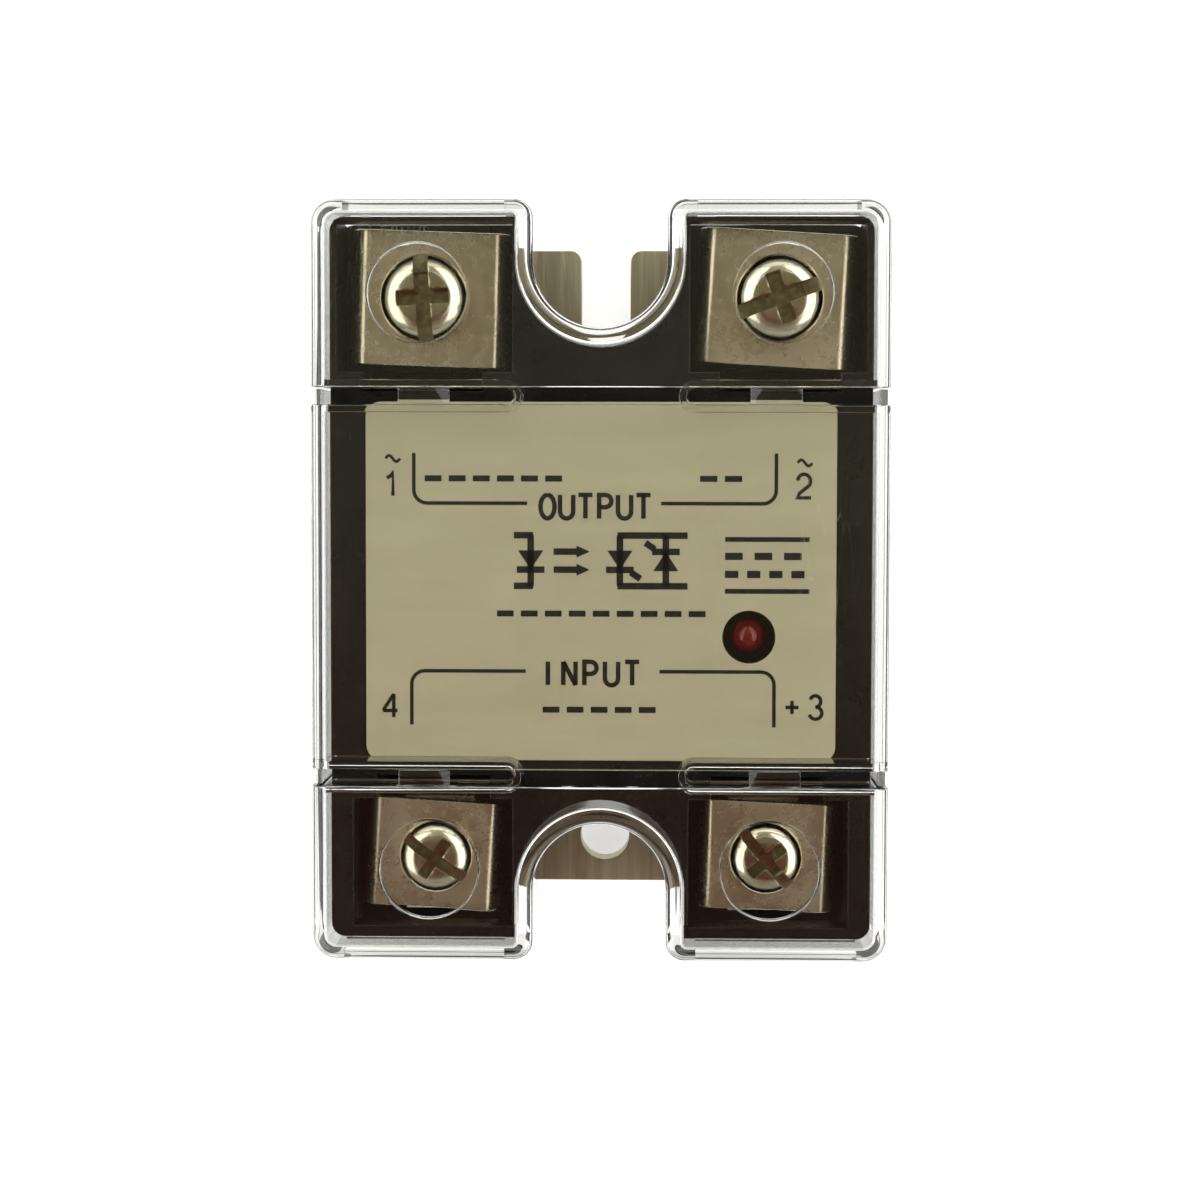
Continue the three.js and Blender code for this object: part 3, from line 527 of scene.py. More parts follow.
def housing_plastic():
    """Black moulded thermoplastic: fine texture, slight gloss, specks of dust."""
    finish = Finish("black moulded housing", IOR=1.52, Specular_IOR_Level=0.12)
    tone = finish.tone(180.0, (0.005, 0.0042, 0.003), (0.002, 0.0016, 0.0012))
    finish.colour(finish.speckled(tone, 2600.0, 0.16, 0.56, 0.3, (0.1, 0.09, 0.07)))
    finish.surface(2400.0, (0.22, 0.46), 0.55, 0.00006)
    return finish.material


def label_film():
    """Silvery beige printed film with faint flow lines and handling marks."""
    finish = Finish("silver beige label film", Metallic=0.35)
    drawn = finish.nodes.place(finish.coords, scale=(1.0, 6.0, 1.0))
    tone = finish.tone(90.0, (0.355, 0.318, 0.198), (0.33, 0.294, 0.183), drawn)
    finish.colour(finish.speckled(tone, 1500.0, 0.1, 0.6, 0.3, (0.2, 0.17, 0.12)))
    finish.surface(1600.0, (0.36, 0.52), 0.12, 0.00003)
    return finish.material


def clear_plastic():
    """Clear moulded plastic with fingerprints, hairline scratches, flow ripples and painted shade on its
    side and end walls.
    """
    finish = Finish(
        "clear moulded cover", Transmission_Weight=1.0, IOR=1.49, Specular_IOR_Level=0.3
    )
    nodes = finish.nodes

    def patch(x, y, reach_x, reach_y):
        """A soft-edged oval patch, centred and sized in millimetres."""
        across, along = 1 / (reach_x * MM), 1 / (reach_y * MM)
        place = (-x * MM * across, -y * MM * along, 0)
        local = nodes.place(finish.coords, place, scale=(across, along, 0))
        reach = nodes.add("ShaderNodeVectorMath", operation="LENGTH")
        nodes.link(local, reach.inputs[0])
        return nodes.remap(reach.outputs["Value"], 0.6, 1.0, 1.0, 0.0)

    tone = finish.tone(60.0, (0.975, 0.985, 0.98), (0.955, 0.965, 0.955))
    fine = finish.group(GRAIN, Scale=320.0, Smooth=0.015, Rough=0.05)
    steep = nodes.place(finish.coords, turn=(0, 0, 24), scale=(7.0, 0.5, 1.0))
    lines = finish.group(SCRATCHES, steep, Scale=260.0, Width=0.012, Share=0.4)
    worn_spots = nodes.maths("ADD", patch(18, 2.5, 4, 8), patch(-17, 25, 6, 6))
    scored = nodes.maths("MULTIPLY", lines["Mask"], worn_spots)
    parts = nodes.add("ShaderNodeSeparateXYZ")
    nodes.link(finish.coords, parts.inputs[0])
    across = nodes.maths("ABSOLUTE", parts.outputs["X"])
    along = nodes.maths("ABSOLUTE", parts.outputs["Y"])

    def past(distance, wall):
        """Mask of a wall's painted shade, which starts just short of its inner face."""
        return nodes.remap(distance, (wall - 0.04) * MM, (wall - 0.01) * MM, 0.0, 1.0)

    side_wall_shade = past(across, COVER_HALF - COVER_WALL)
    end_wall_shade = past(along, OUTPUT_HIGH[1] - COVER_WALL)
    # Painted shade: the side walls, and more strongly the end walls, are tinted darker to look shaded.
    side_shaded = nodes.mix(side_wall_shade, tone, (0.8, 0.81, 0.79, 1))
    finish.colour(nodes.mix(end_wall_shade, side_shaded, (0.56, 0.57, 0.54, 1)))
    worn = nodes.maths("ADD", fine["Roughness"], nodes.maths("MULTIPLY", scored, 0.2))
    finish.roughness(worn)
    ripple = nodes.noise(finish.coords, 160.0, 2.0)
    height = nodes.maths("ADD", ripple, nodes.maths("MULTIPLY", scored, -0.3))
    finish.bump(height, 0.08, 0.00012)
    clear = nodes.add("ShaderNodeBsdfTransparent")
    clear.inputs["Color"].default_value = (0.93, 0.94, 0.93, 1)
    path = nodes.add("ShaderNodeLightPath")
    blend = nodes.add("ShaderNodeMixShader")
    nodes.link(path.outputs["Is Shadow Ray"], blend.inputs[0])
    nodes.link(finish.shader.outputs[0], blend.inputs[1])
    nodes.link(clear.outputs[0], blend.inputs[2])
    nodes.link(blend.outputs[0], finish.output.inputs["Surface"])
    return finish.material


def nickel_plate(name, light, dark, smoothness, waviness, recess_shade=False):
    """Bright nickel plating over stamped or headed steel, with painted shade where a face is marked as sunk
    in the recess.
    """
    finish = Finish(name, Metallic=1.0)
    nodes = finish.nodes
    plated = finish.speckled(finish.tone(260.0, light, dark), 2200.0, 0.14, 0.55, 0.45, (0.2, 0.16, 0.1))
    if recess_shade:
        # Painted shade: faces sunk in the driver recess are mixed towards a dark, patchy brown.
        sunk = nodes.add("ShaderNodeAttribute", attribute_name="recess").outputs["Fac"]
        patchy = nodes.remap(nodes.noise(finish.coords, 1800.0, 2.0), 0.3, 0.6, 0.35, 0.8)
        painted_shade = nodes.maths("MULTIPLY", sunk, patchy)
        plated = nodes.mix(painted_shade, plated, (0.24, 0.2, 0.12, 1))
    finish.colour(plated)
    low, high = smoothness
    fine = finish.group(GRAIN, Scale=1300.0, Smooth=low, Rough=high)
    finish.roughness(fine["Roughness"])
    wave = nodes.noise(finish.coords, 420.0, 3.0, 0.6)
    slow = nodes.maths("MULTIPLY", wave, waviness)
    quick = nodes.maths("MULTIPLY", fine["Height"], 0.12)
    height = nodes.maths("ADD", slow, quick)
    finish.bump(height, 0.35, 0.00012)
    return finish.material


def base_metal():
    """Plated base plate: rolled grain along its length and an olive-brass tone."""
    finish = Finish("plated base metal", Metallic=1.0)
    rolled = finish.nodes.place(finish.coords, scale=(12.0, 0.7, 1.0))
    finish.colour(finish.tone(160.0, (0.66, 0.6, 0.43), (0.5, 0.44, 0.3), rolled))
    finish.surface(420.0, (0.3, 0.48), 0.25, 0.00005, rolled)
    return finish.material


def lamp_epoxy():
    """Red epoxy dome of the lamp."""
    finish = Finish("red lamp epoxy", Transmission_Weight=0.5, IOR=1.5, Specular_IOR_Level=0.35)
    finish.colour(finish.tone(500.0, (0.22, 0.004, 0.003), (0.14, 0.002, 0.002)))
    finish.surface(900.0, (0.03, 0.08), 0.05, 0.00003)
    return finish.material


def label_ink():
    light, dark = (0.006, 0.004, 0.0035), (0.003, 0.002, 0.002)
    ink = plain_finish(
        "label ink", light, dark, (0.5, 0.65), 400.0, 2500.0, 0.05, Specular_IOR_Level=0.15
    )
    return ink.material


HOUSING = housing_plastic()
FILM = label_film()
INK = label_ink()
CLEAR = clear_plastic()
CLAMP_NICKEL = nickel_plate(
    "nickel clamp plate", (0.64, 0.56, 0.39), (0.54, 0.46, 0.31), (0.2, 0.34), 0.35
)
SCREW_NICKEL = nickel_plate(
    "nickel screw", (0.68, 0.62, 0.45), (0.54, 0.48, 0.33), (0.1, 0.24), 0.7, recess_shade=True
)
BASE = base_metal()
LAMP = lamp_epoxy()
# Name, light and dark tone, gloss from and to, scale of the tone and the grain, bump, metalness
PLAIN = {
    row[0]: plain_finish(*row[:-1], Metallic=row[-1]).material
    for row in (
        ("zinc plated nut", (0.62, 0.62, 0.6), (0.45, 0.45, 0.43), (0.25, 0.45), 400, 1500, 0.3, 1),
        ("plated terminal strip", (0.7, 0.62, 0.43), (0.55, 0.47, 0.31), (0.2, 0.4), 300, 1500, 0.25, 1),
        ("white alumina", (0.82, 0.8, 0.75), (0.72, 0.69, 0.63), (0.45, 0.65), 500, 2500, 0.25, 0),
        ("bare copper", (0.78, 0.42, 0.27), (0.55, 0.25, 0.15), (0.22, 0.42), 300, 1500, 0.2, 1),
        ("polished silicon", (0.2, 0.21, 0.24), (0.13, 0.14, 0.17), (0.1, 0.2), 300, 1500, 0.05, 0.8),
        ("tinned wire", (0.68, 0.69, 0.7), (0.5, 0.51, 0.52), (0.25, 0.4), 600, 1800, 0.2, 1),
        ("green board laminate", (0.05, 0.2, 0.08), (0.03, 0.13, 0.05), (0.3, 0.45), 700, 2800, 0.3, 0),
        ("black moulded package", (0.03, 0.03, 0.032), (0.018, 0.018, 0.02), (0.4, 0.6), 400, 2200, 0.3, 0),
        ("red dipped capacitor", (0.5, 0.09, 0.05), (0.38, 0.06, 0.03), (0.2, 0.35), 300, 1200, 0.1, 0),
        ("cement coated resistor", (0.33, 0.4, 0.3), (0.24, 0.3, 0.22), (0.5, 0.75), 600, 2200, 0.5, 0),
        ("blue lacquered resistor", (0.3, 0.45, 0.52), (0.22, 0.35, 0.42), (0.25, 0.4), 500, 1500, 0.1, 0),
        ("dark potting resin", (0.06, 0.055, 0.05), (0.035, 0.032, 0.03), (0.3, 0.5), 200, 900, 0.3, 0),
    )
}
ZINC = PLAIN["zinc plated nut"]
STRIP = PLAIN["plated terminal strip"]
TINNED = PLAIN["tinned wire"]


# --- Clear cover ---

def flap_outline(side, near, inset, collar):
    """Plan of an end flap: a U notch in its far edge, round corners, straight near edge."""
    half = COVER_HALF - inset
    far = (OUTPUT_HIGH[1] if side > 0 else -INPUT_LOW[1]) - inset
    centre = (OUTPUT_NOTCH_Y if side > 0 else -INPUT_NOTCH_Y)
    corner = COVER_CORNER - inset
    mouth = MOUTH_CORNER - inset
    notch = COLLAR_RADIUS + collar
    points = [(-half, near), (half, near)]
    points += arc(half - corner, far - corner, corner, 0, 90, 10)
    points += arc(notch + mouth, far - mouth, mouth, 90, 180, 8)
    points += arc(0, centre, notch, 0, -180, 49)
    points += arc(-notch - mouth, far - mouth, mouth, 0, 90, 8)
    points += arc(-half + corner, far - corner, corner, 90, 180, 10)
    if side < 0:
        points = [(x, -y) for x, y in reversed(points)]
    return points


def shell_levels(bottom, top, inset, rim, rounding, steps=6):
    """Heights and insets of an upright wall with a soft rim below and a round edge above."""
    levels = []
    if rim > 0:
        levels += [(bottom, inset + rim), (bottom + rim * 0.3, inset + rim * 0.3)]
        levels.append((bottom + rim, inset))
    else:
        levels.append((bottom, inset))
    levels.append((top - rounding, inset))
    for across, up in quarter_round(steps):
        levels.append((top - rounding + rounding * up, inset + rounding * across))
    return levels


def access_cutter(bm, x, y):
    """A round hole through the cover top with both of its rims rounded over."""
    under = COVER_TOP - COVER_WALL
    rim = 0.16
    profile = [(0, under - 1), (ACCESS_RADIUS + rim, under - 1), (ACCESS_RADIUS + rim, under)]
    for across, up in quarter_round(4):
        profile.append((ACCESS_RADIUS + rim * (1 - up), under + rim * across))
    profile.append((ACCESS_RADIUS, COVER_TOP - rim))
    for across, up in quarter_round(4):
        profile.append((ACCESS_RADIUS + rim * across, COVER_TOP - rim + rim * up))
    profile += [(ACCESS_RADIUS + rim, COVER_TOP + 1), (0, COVER_TOP + 1)]
    revolve(bm, profile, x, y, 72)


def clear_flap(name, node, body, side, edge, screws):
    grow = COLLAR_WALL / COVER_WALL

    def outer(inset):
        return flap_outline(side, side * edge + inset * JOINT_SLIP, inset, inset * grow)

    def inner(inset):
        return flap_outline(side, side * edge - 1, inset, inset * grow)

    def shell(bm):
        stack(bm, shell_levels(COVER_SKIRT, COVER_TOP, 0, COVER_RIM, COVER_ROUND), outer)

    def hollow(bm):
        under = COVER_TOP - COVER_WALL
        stack(bm, shell_levels(COVER_SKIRT - 1, under, COVER_WALL, 0, COVER_INNER_ROUND, 4), inner)

    def windows(bm):
        far = OUTPUT_HIGH[1] if side > 0 else INPUT_LOW[1]
        y0, y1 = sorted((far - side * (COVER_WALL + 0.05), far + side))
        for sign in (-1, 1):
            ends = sorted((sign * (NOTCH_RADIUS + 1.1), sign * (COVER_HALF - COVER_CORNER - 0.2)))
            block(bm, ends[0], ends[1], y0, y1, COVER_SKIRT - 1, COVER_TOP - COVER_END_SKIRT)

    def holes(bm):
        for x, y in screws:
            access_cutter(bm, x, y)

    piece = solid(name, shell)
    cut_away(piece, hollow)
    cut_away(piece, windows)
    cut_away(piece, holes)
    tidy_mesh(piece)
    smooth(piece, 40)
    return dress(piece, CLEAR, body, (node,))


def clear_centre():
    """Fixed middle of the cover, with its catches, side leaves and hinge slot rings."""
    near, far = INPUT_TAB_HIGH[1], OUTPUT_TAB_LOW[1]
    under = COVER_TOP - COVER_WALL

    def outer(inset):
        half = COVER_HALF - inset
        slip = inset * JOINT_SLIP
        return rounded_rectangle(-half, half, near + slip, far - slip, 0.1, 2)

    def inner(inset):
        half = COVER_HALF - inset
        return (-half, near - 1), (half, near - 1), (half, far + 1), (-half, far + 1)

    def shell(bm):
        stack(bm, shell_levels(COVER_SKIRT, COVER_TOP, 0, COVER_RIM, COVER_ROUND), outer)

    def hollow(bm):
        stack(bm, shell_levels(COVER_SKIRT - 1, under, COVER_WALL, 0, COVER_INNER_ROUND, 4), inner)

    def catches(bm):
        tip, root, reach = 22.2, COVER_HALF - COVER_WALL + 0.2, 5
        for sign in (-1, 1):
            ends = sorted((sign * tip, sign * root))
            block(bm, ends[0], ends[1], -reach, reach, COVER_SKIRT + 1.15, COVER_SKIRT + 1.85)

    def leaves(bm):
        """Thin side leaves that close the gaps beside the hinge slots."""
        low, high = COVER_SKIRT + 0.6, under
        inside, outside = COVER_HALF - 0.75, COVER_HALF - 0.2
        lap, clearance = 0.4, 0.12
        for sign in (-1, 1):
            xs = sorted((sign * inside, sign * outside))
            block(bm, xs[0], xs[1], far - lap, OUTPUT_LOW[1] - clearance, low, high)
            block(bm, xs[0], xs[1], INPUT_HIGH[1] + clearance, near + lap, low, high)

    piece = solid("clear_cover_centre", shell)
    cut_away(piece, hollow)
    join_on(piece, catches)
    join_on(piece, leaves)
    pairs = ((far, OUTPUT_LOW[1], 1), (near, INPUT_HIGH[1], -1))
    for centre_edge, flap_edge, side in pairs:
        for sign in (-1, 1):
            join_ledge(piece, sign, centre_edge, flap_edge, side)
    tidy_mesh(piece)
    smooth(piece, 40)
    return dress(piece, CLEAR, "relay_body", ("cover_centre",))


def join_ledge(piece, sign, centre_edge, flap_edge, side):
    """Round-ended ring under one hinge slot, hung from the centre panel by a leg."""
    middle = (centre_edge + flap_edge) / 2
    inner = abs(flap_edge - centre_edge) / 2
    outer = inner + LEDGE_THICKNESS
    centre_x = LEDGE_START + outer
    wall = COVER_HALF - COVER_WALL - 0.15
    bottom = LABEL_HIGH[2] + 0.1
    top = COVER_TOP - COVER_WALL - 0.1

    def plan(inset):
        points = [(wall, middle - outer + inset), (wall, middle - inner - inset)]
        points += arc(centre_x, middle, inner + inset, 270, 90, 16)
        points += [(wall, middle + inner + inset), (wall, middle + outer - inset)]
        points += arc(centre_x, middle, outer - inset, 90, 270, 20)
        return points if sign > 0 else [(-x, y) for x, y in reversed(points)]

    def ring(bm):
        levels = ((bottom, 0.1), (bottom + 0.1, 0), (top - 0.14, 0), (top - 0.04, 0.04), (top, 0.14))
        stack(bm, levels, plan)

    def leg(bm):
        back = centre_edge - side * LEDGE_THICKNESS
        xs = sorted((sign * centre_x, sign * (wall + 0.4)))
        ys = sorted((back, centre_edge))
        block(bm, xs[0], xs[1], ys[0], ys[1], bottom + 0.2, top + 0.3)

    join_on(piece, ring)
    join_on(piece, leg)


def hinge_tabs():
    """Thin living-hinge strips between the centre panel and a flap."""
    for end, body in (("output", "flap_output_body"), ("input", "flap_input_body")):
        for word in ("left", "right"):
            node = f"hinge_tab_{end}_{word}"
            low, high = span(node)

            def strip(bm):
                rings = []
                steps = 12
                edge = 0.07
                for i in range(steps + 1):
                    y = low[1] + (high[1] - low[1]) * i / steps
                    thin = 0.05 * math.sin(math.pi * i / steps)
                    plan = rounded_rectangle(low[0], high[0], low[2] + thin, high[2], edge, 3)
                    rings.append([(x, y, z) for x, z in plan])
                loft(bm, rings)
                bmesh.ops.reverse_faces(bm, faces=bm.faces)

            piece = solid(f"living_hinge_{end}_{word}", strip)
            smooth(piece, 40)
            dress(piece, CLEAR, None)
            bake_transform(piece)
            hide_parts(node)


# --- Terminal hardware ---

def screw_axis(number):
    low, high = span(f"screw_{number}")
    place = JOINTS[f"screw_{number}_turn"]["pos_m"]
    return place[0] / MM, place[1] / MM, low[2], high[2]


def saddle_clamp(number, hardware, shift, turn):
    """Stamped clamp plate with its two sides bent down over the strip."""
    width, length = hardware["clamp_width"], hardware["clamp_length"]
    thick, bend = hardware["clamp_thickness"], hardware["clamp_bend"]
    top = hardware["clamp_top"]
    foot = hardware["foot"]
    x, y, _, _ = screw_axis(number)

    def profile(inset):
        half = width / 2 - inset
        inner = half - thick + 2 * inset
        centre = width / 2 - bend
        outer_radius = bend - inset
        inner_radius = bend - thick + inset
        level = top - bend
        points = [(half, foot + inset)]
        points += arc(centre, level, outer_radius, 0, 90, 14)
        points += arc(-centre, level, outer_radius, 90, 180, 14)
        points += [(-half, foot + inset), (-inner, foot + inset)]
        points += arc(-centre, level, inner_radius, 180, 90, 10)
        points += arc(centre, level, inner_radius, 90, 0, 10)
        points.append((inner, foot + inset))
        return points

    def plate(bm):
        reach = length / 2
        soft = 0.14
        stations = [(-reach, soft), (-reach + soft * 0.3, soft * 0.3), (-reach + soft, 0)]
        stations += [(-place, inset) for place, inset in reversed(stations)]
        rings = [
            [(px + shift, along, pz) for px, pz in profile(inset)] for along, inset in stations
        ]
        loft(bm, [list(reversed(ring)) for ring in rings])
        turned = Matrix.Rotation(math.radians(turn), 4, "Z")
        bmesh.ops.transform(bm, matrix=Matrix.Translation((x, y, 0)) @ turned, verts=bm.verts)

    def hole(bm):
        radius = hardware["thread"] + 0.25
        rim = 0.12
        outline = [
            (0, foot - 1),
            (radius, foot - 1),
            (radius, top - rim),
            (radius + rim * 0.3, top - rim * 0.3),
            (radius + rim, top),
            (radius + rim, top + 1),
            (0, top + 1),
        ]
        revolve(bm, outline, x, y, 48)

    piece = solid(f"saddle_clamp_{number}", plate)
    cut_away(piece, hole)
    tidy_mesh(piece)
    smooth(piece, 40)
    return dress(piece, CLAMP_NICKEL, f"clamp_{number}_body", (f"clamp_{number}",))


def screw_profile(hardware, tip, top):
    """Radius and height of the screw from its tip to the crown of the pan head."""
    thread = hardware["thread"]
    head = hardware["head"]
    seat = top - hardware["head_height"]
    root = thread - 0.03
    points = [(0, tip), (root * 0.72, tip)]
    rows = 120
    start = tip + 0.5
    for i in range(rows + 1):
        points.append((root, start + (seat - start) * i / rows))
    rise = hardware["head_height"]
    points += [(head * 0.955, seat), (head * 0.985, seat + rise * 0.02), (head, seat + rise * 0.07)]
    points.append((head, seat + rise * 0.34))
    shoulder = seat + rise * 0.34
    for i in range(1, 15):
        angle = math.pi / 2 * i / 15
        radius = head * (0.42 + 0.58 * math.cos(angle) ** 0.9)
        points.append((radius, shoulder + rise * 0.655 * math.sin(angle)))
    points += [(head * 0.3, top - rise * 0.001), (head * 0.12, top), (0, top)]
    return points


def screw_tree():
    """Geometry nodes: turns a profile about its axis, presses in the thread and the driver recess."""
    tree = bpy.data.node_groups.new("pan head screw", "GeometryNodeTree")
    face = tree.interface
    face.new_socket("Geometry", in_out="INPUT", socket_type="NodeSocketGeometry")
    defaults = (
        ("Rows", 140.0),
        ("Segments", 72.0),
        ("Pitch", 0.0007),
        ("Thread Depth", 0.0002),
        ("Thread Bottom", 0.011),
        ("Thread Top", 0.02),
        ("Blade", 0.0012),
        ("Slot Half Length", 0.006),
        ("Slot Floor", 0.022),
        ("Cross Half Length", 0.002),
        ("Cross Floor", 0.0215),
        ("Crown", 0.0232),
    )
    for label, value in defaults:
        kind = "NodeSocketInt" if label in ("Rows", "Segments") else "NodeSocketFloat"
        made = face.new_socket(label, in_out="INPUT", socket_type=kind)
        made.default_value = int(value) if kind == "NodeSocketInt" else value
    face.new_socket("Material", in_out="INPUT", socket_type="NodeSocketMaterial")
    face.new_socket("Geometry", in_out="OUTPUT", socket_type="NodeSocketGeometry")

    nodes = Nodes(tree)
    add, feed, maths = nodes.add, nodes.feed, nodes.maths

    def vector(x, y, z):
        node = add("ShaderNodeCombineXYZ")
        for socket, value in zip(node.inputs, (x, y, z)):
            feed(socket, value)
        return node.outputs[0]

    def cube(size, centre):
        node = add("GeometryNodeMeshCube")
        feed(node.inputs["Size"], size)
        moved = add("GeometryNodeTransform")
        feed(moved.inputs["Geometry"], node.outputs["Mesh"])
        feed(moved.inputs["Translation"], centre)
        return moved.outputs[0]

    start = add("NodeGroupInput").outputs
    end = add("NodeGroupOutput")
    columns = maths("ADD", start["Segments"], 1.0)
    grid = add("GeometryNodeMeshGrid")
    feed(grid.inputs["Vertices X"], columns)
    feed(grid.inputs["Vertices Y"], start["Rows"])
    index = add("GeometryNodeInputIndex").outputs[0]
    row = maths("MODULO", index, start["Rows"])
    column = maths("FLOOR", maths("DIVIDE", index, start["Rows"]))
    angle = maths("MULTIPLY", maths("DIVIDE", column, start["Segments"]), 2 * math.pi)
    position = add("GeometryNodeInputPosition").outputs[0]
    sample = add("GeometryNodeSampleIndex", data_type="FLOAT_VECTOR")
    feed(sample.inputs["Geometry"], start["Geometry"])
    feed(sample.inputs["Value"], position)
    feed(sample.inputs["Index"], row)
    parts = add("ShaderNodeSeparateXYZ")
    feed(parts.inputs[0], sample.outputs[0])
    radius, height = parts.outputs[0], parts.outputs[2]
    turns = maths("SUBTRACT", maths("DIVIDE", height, start["Pitch"]), maths("DIVIDE", angle, 2 * math.pi))
    ridge = maths("MULTIPLY", maths("PINGPONG", turns, 0.5), 2.0)
    above = maths("GREATER_THAN", height, start["Thread Bottom"])
    below = maths("LESS_THAN", height, start["Thread Top"])
    deep = maths("MULTIPLY", ridge, start["Thread Depth"])
    pressed = maths("MULTIPLY", deep, maths("MULTIPLY", above, below))
    wide = maths("GREATER_THAN", radius, 0.0005)
    reach = maths("SUBTRACT", radius, maths("MULTIPLY", pressed, wide))
    place = add("GeometryNodeSetPosition")
    feed(place.inputs["Geometry"], grid.outputs["Mesh"])
    where = vector(
        maths("MULTIPLY", reach, maths("COSINE", angle)),
        maths("MULTIPLY", reach, maths("SINE", angle)),
        height,
    )
    feed(place.inputs["Position"], where)
    joined = add("GeometryNodeMergeByDistance")
    feed(joined.inputs["Geometry"], place.outputs[0])
    feed(joined.inputs["Distance"], 1e-6)

    above_crown = maths("ADD", start["Crown"], 0.001)

    def trench(half_length, floor, across):
        tall = maths("SUBTRACT", above_crown, floor)
        middle = maths("MULTIPLY", maths("ADD", above_crown, floor), 0.5)
        long = maths("MULTIPLY", half_length, 2.0)
        size = vector(start["Blade"], long, tall) if across else vector(long, start["Blade"], tall)
        return cube(size, vector(0.0, 0.0, middle))

    cuts = [
        trench(start["Slot Half Length"], start["Slot Floor"], False),
        trench(start["Cross Half Length"], start["Cross Floor"], True),
        trench(start["Cross Half Length"], start["Cross Floor"], False),
    ]
    shape = joined.outputs["Geometry"]
    for cut in cuts:
        boolean = add("GeometryNodeMeshBoolean", operation="DIFFERENCE", solver="MANIFOLD")
        feed(boolean.inputs["Mesh 1"], shape)
        feed(boolean.inputs["Mesh 2"], cut)
        shape = boolean.outputs["Mesh"]
    made_real = add("GeometryNodeRealizeInstances")
    feed(made_real.inputs["Geometry"], shape)
    finish = add("GeometryNodeSetMaterial")
    feed(finish.inputs["Geometry"], made_real.outputs[0])
    feed(finish.inputs["Material"], start["Material"])
    feed(end.inputs["Geometry"], finish.outputs[0])
    return tree


SCREW_TREE = screw_tree()


def mark_recess(piece, hardware, x, y, top):
    """Marks the faces sunk below the crown of the head, which the screw material darkens as painted shade.
    """
    head, rise = hardware["head"], hardware["head_height"]
    shallowest, full_shade_depth = 0.12, 0.8
    # Reach and height of the crown, as shares of the head's radius and rise
    crown = ((0, 1), (0.4, 1), (0.66, 0.96), (0.84, 0.83), (0.95, 0.62), (1, 0.38))
    mask = piece.data.attributes.new("recess", "FLOAT", "FACE")
    for face in piece.data.polygons:
        middle = face.center / MM
        reach = math.hypot(middle.x - x, middle.y - y) / head
        depth = 0.0
        for (r0, h0), (r1, h1) in zip(crown, crown[1:]):
            if r0 <= reach <= r1:
                surface = top - rise + rise * (h0 + (h1 - h0) * (reach - r0) / (r1 - r0))
                depth = surface - middle.z
        sunk = shallowest < depth < rise
        mask.data[face.index].value = min(depth / full_shade_depth, 1.0) if sunk else 0.0


def pan_head_screw(number, hardware, turn):
    x, y, tip, top = screw_axis(number)
    head, rise = hardware["head"], hardware["head_height"]
    seat = top - rise
    profile = screw_profile(hardware, tip, top)
    mesh = bpy.data.meshes.new(f"screw_profile_{number}")
    mesh.from_pydata([(radius * MM, 0, height * MM) for radius, height in profile], [], [])
    piece = put(f"terminal_screw_{number}", mesh)
    values = {
        "Rows": len(profile),
        "Segments": 72,
        "Pitch": hardware["pitch"] * MM,
        "Thread Depth": hardware["pitch"] * 0.5 * MM,
        "Thread Bottom": (tip + 0.6) * MM,
        "Thread Top": (seat - 0.6) * MM,
        "Blade": hardware["blade"] * MM,
        "Slot Half Length": (head + 0.5) * MM,
        "Slot Floor": (top - rise * 0.48) * MM,
        "Cross Half Length": head * 0.58 * MM,
        "Cross Floor": (top - rise * 0.85) * MM,
        "Crown": top * MM,
        "Material": SCREW_NICKEL,
    }
    modifier = piece.modifiers.new("screw", "NODES")
    modifier.node_group = SCREW_TREE
    for item in SCREW_TREE.interface.items_tree:
        if item.in_out == "INPUT" and item.name in values:
            modifier[item.identifier] = values[item.name]
    settle(piece)
    tidy_mesh(piece, join=1e-7, flat=0.1)
    turned = Matrix.Rotation(math.radians(turn), 4, "Z")
    piece.data.transform(Matrix.Translation((x * MM, y * MM, 0)) @ turned)
    seat_line = seat + 0.3
    round_edges(piece, 0.07, 2, 40, lambda middle: middle.z > seat_line)
    smooth(piece, 40)
    mark_recess(piece, hardware, x, y, top)
    return dress(piece, SCREW_NICKEL, f"screw_{number}_body", (f"screw_{number}",))


# --- Housing, base plate, strips and nuts ---

def moulded_housing():
    top_edges = 22.9
    piece = refined_copy("housing", "moulded_housing", 0.16, 2, 60, lambda m: m.z > top_edges, False)
    smooth(piece, 35)
    return dress(piece, HOUSING, "relay_body", ("housing",))


def pressed_base_plate():
    piece = refined_copy("base_plate", "pressed_base_plate", 0.25, 3, 35)
    smooth(piece, 35)
    return dress(piece, BASE, "relay_body", ("base_plate",))


def strips_and_nuts():
    for number in (1, 2, 3, 4):
        strip = refined_copy(f"terminal_strip_{number}", f"bent_strip_{number}", 0.12, 2, 35)
        smooth(strip, 35)
        dress(strip, STRIP, "relay_body", (f"terminal_strip_{number}",))
        nut = refined_copy(f"nut_{number}", f"square_nut_{number}", 0.18, 2, 50)
        smooth(nut, 35)
        dress(nut, ZINC, "relay_body", (f"nut_{number}",))


# --- Label ---

def label_sheet():
    low, high = LABEL_LOW, LABEL_HIGH
    lamp_x = (LAMP_LOW[0] + LAMP_HIGH[0]) / 2
    lamp_y = (LAMP_LOW[1] + LAMP_HIGH[1]) / 2

    window_radius, corner = 2.2, 1.2

    def plan(inset):
        return rounded_rectangle(
            low[0] + inset, high[0] - inset, low[1] + inset, high[1] - inset, corner - inset, 10
        )

    def sheet(bm):
        stack(bm, ((low[2], 0), (high[2] - 0.05, 0), (high[2] - 0.015, 0.015), (high[2], 0.05)), plan)

    def window(bm):
        below, above = low[2] - 1, high[2] + 1
        outline = [(0, below), (window_radius, below), (window_radius, above), (0, above)]
        revolve(bm, outline, lamp_x, lamp_y, 64)

    piece = solid("label_sheet", sheet)
    cut_away(piece, window)
    smooth(piece, 40)
    return dress(piece, FILM, "relay_body", ("label",))


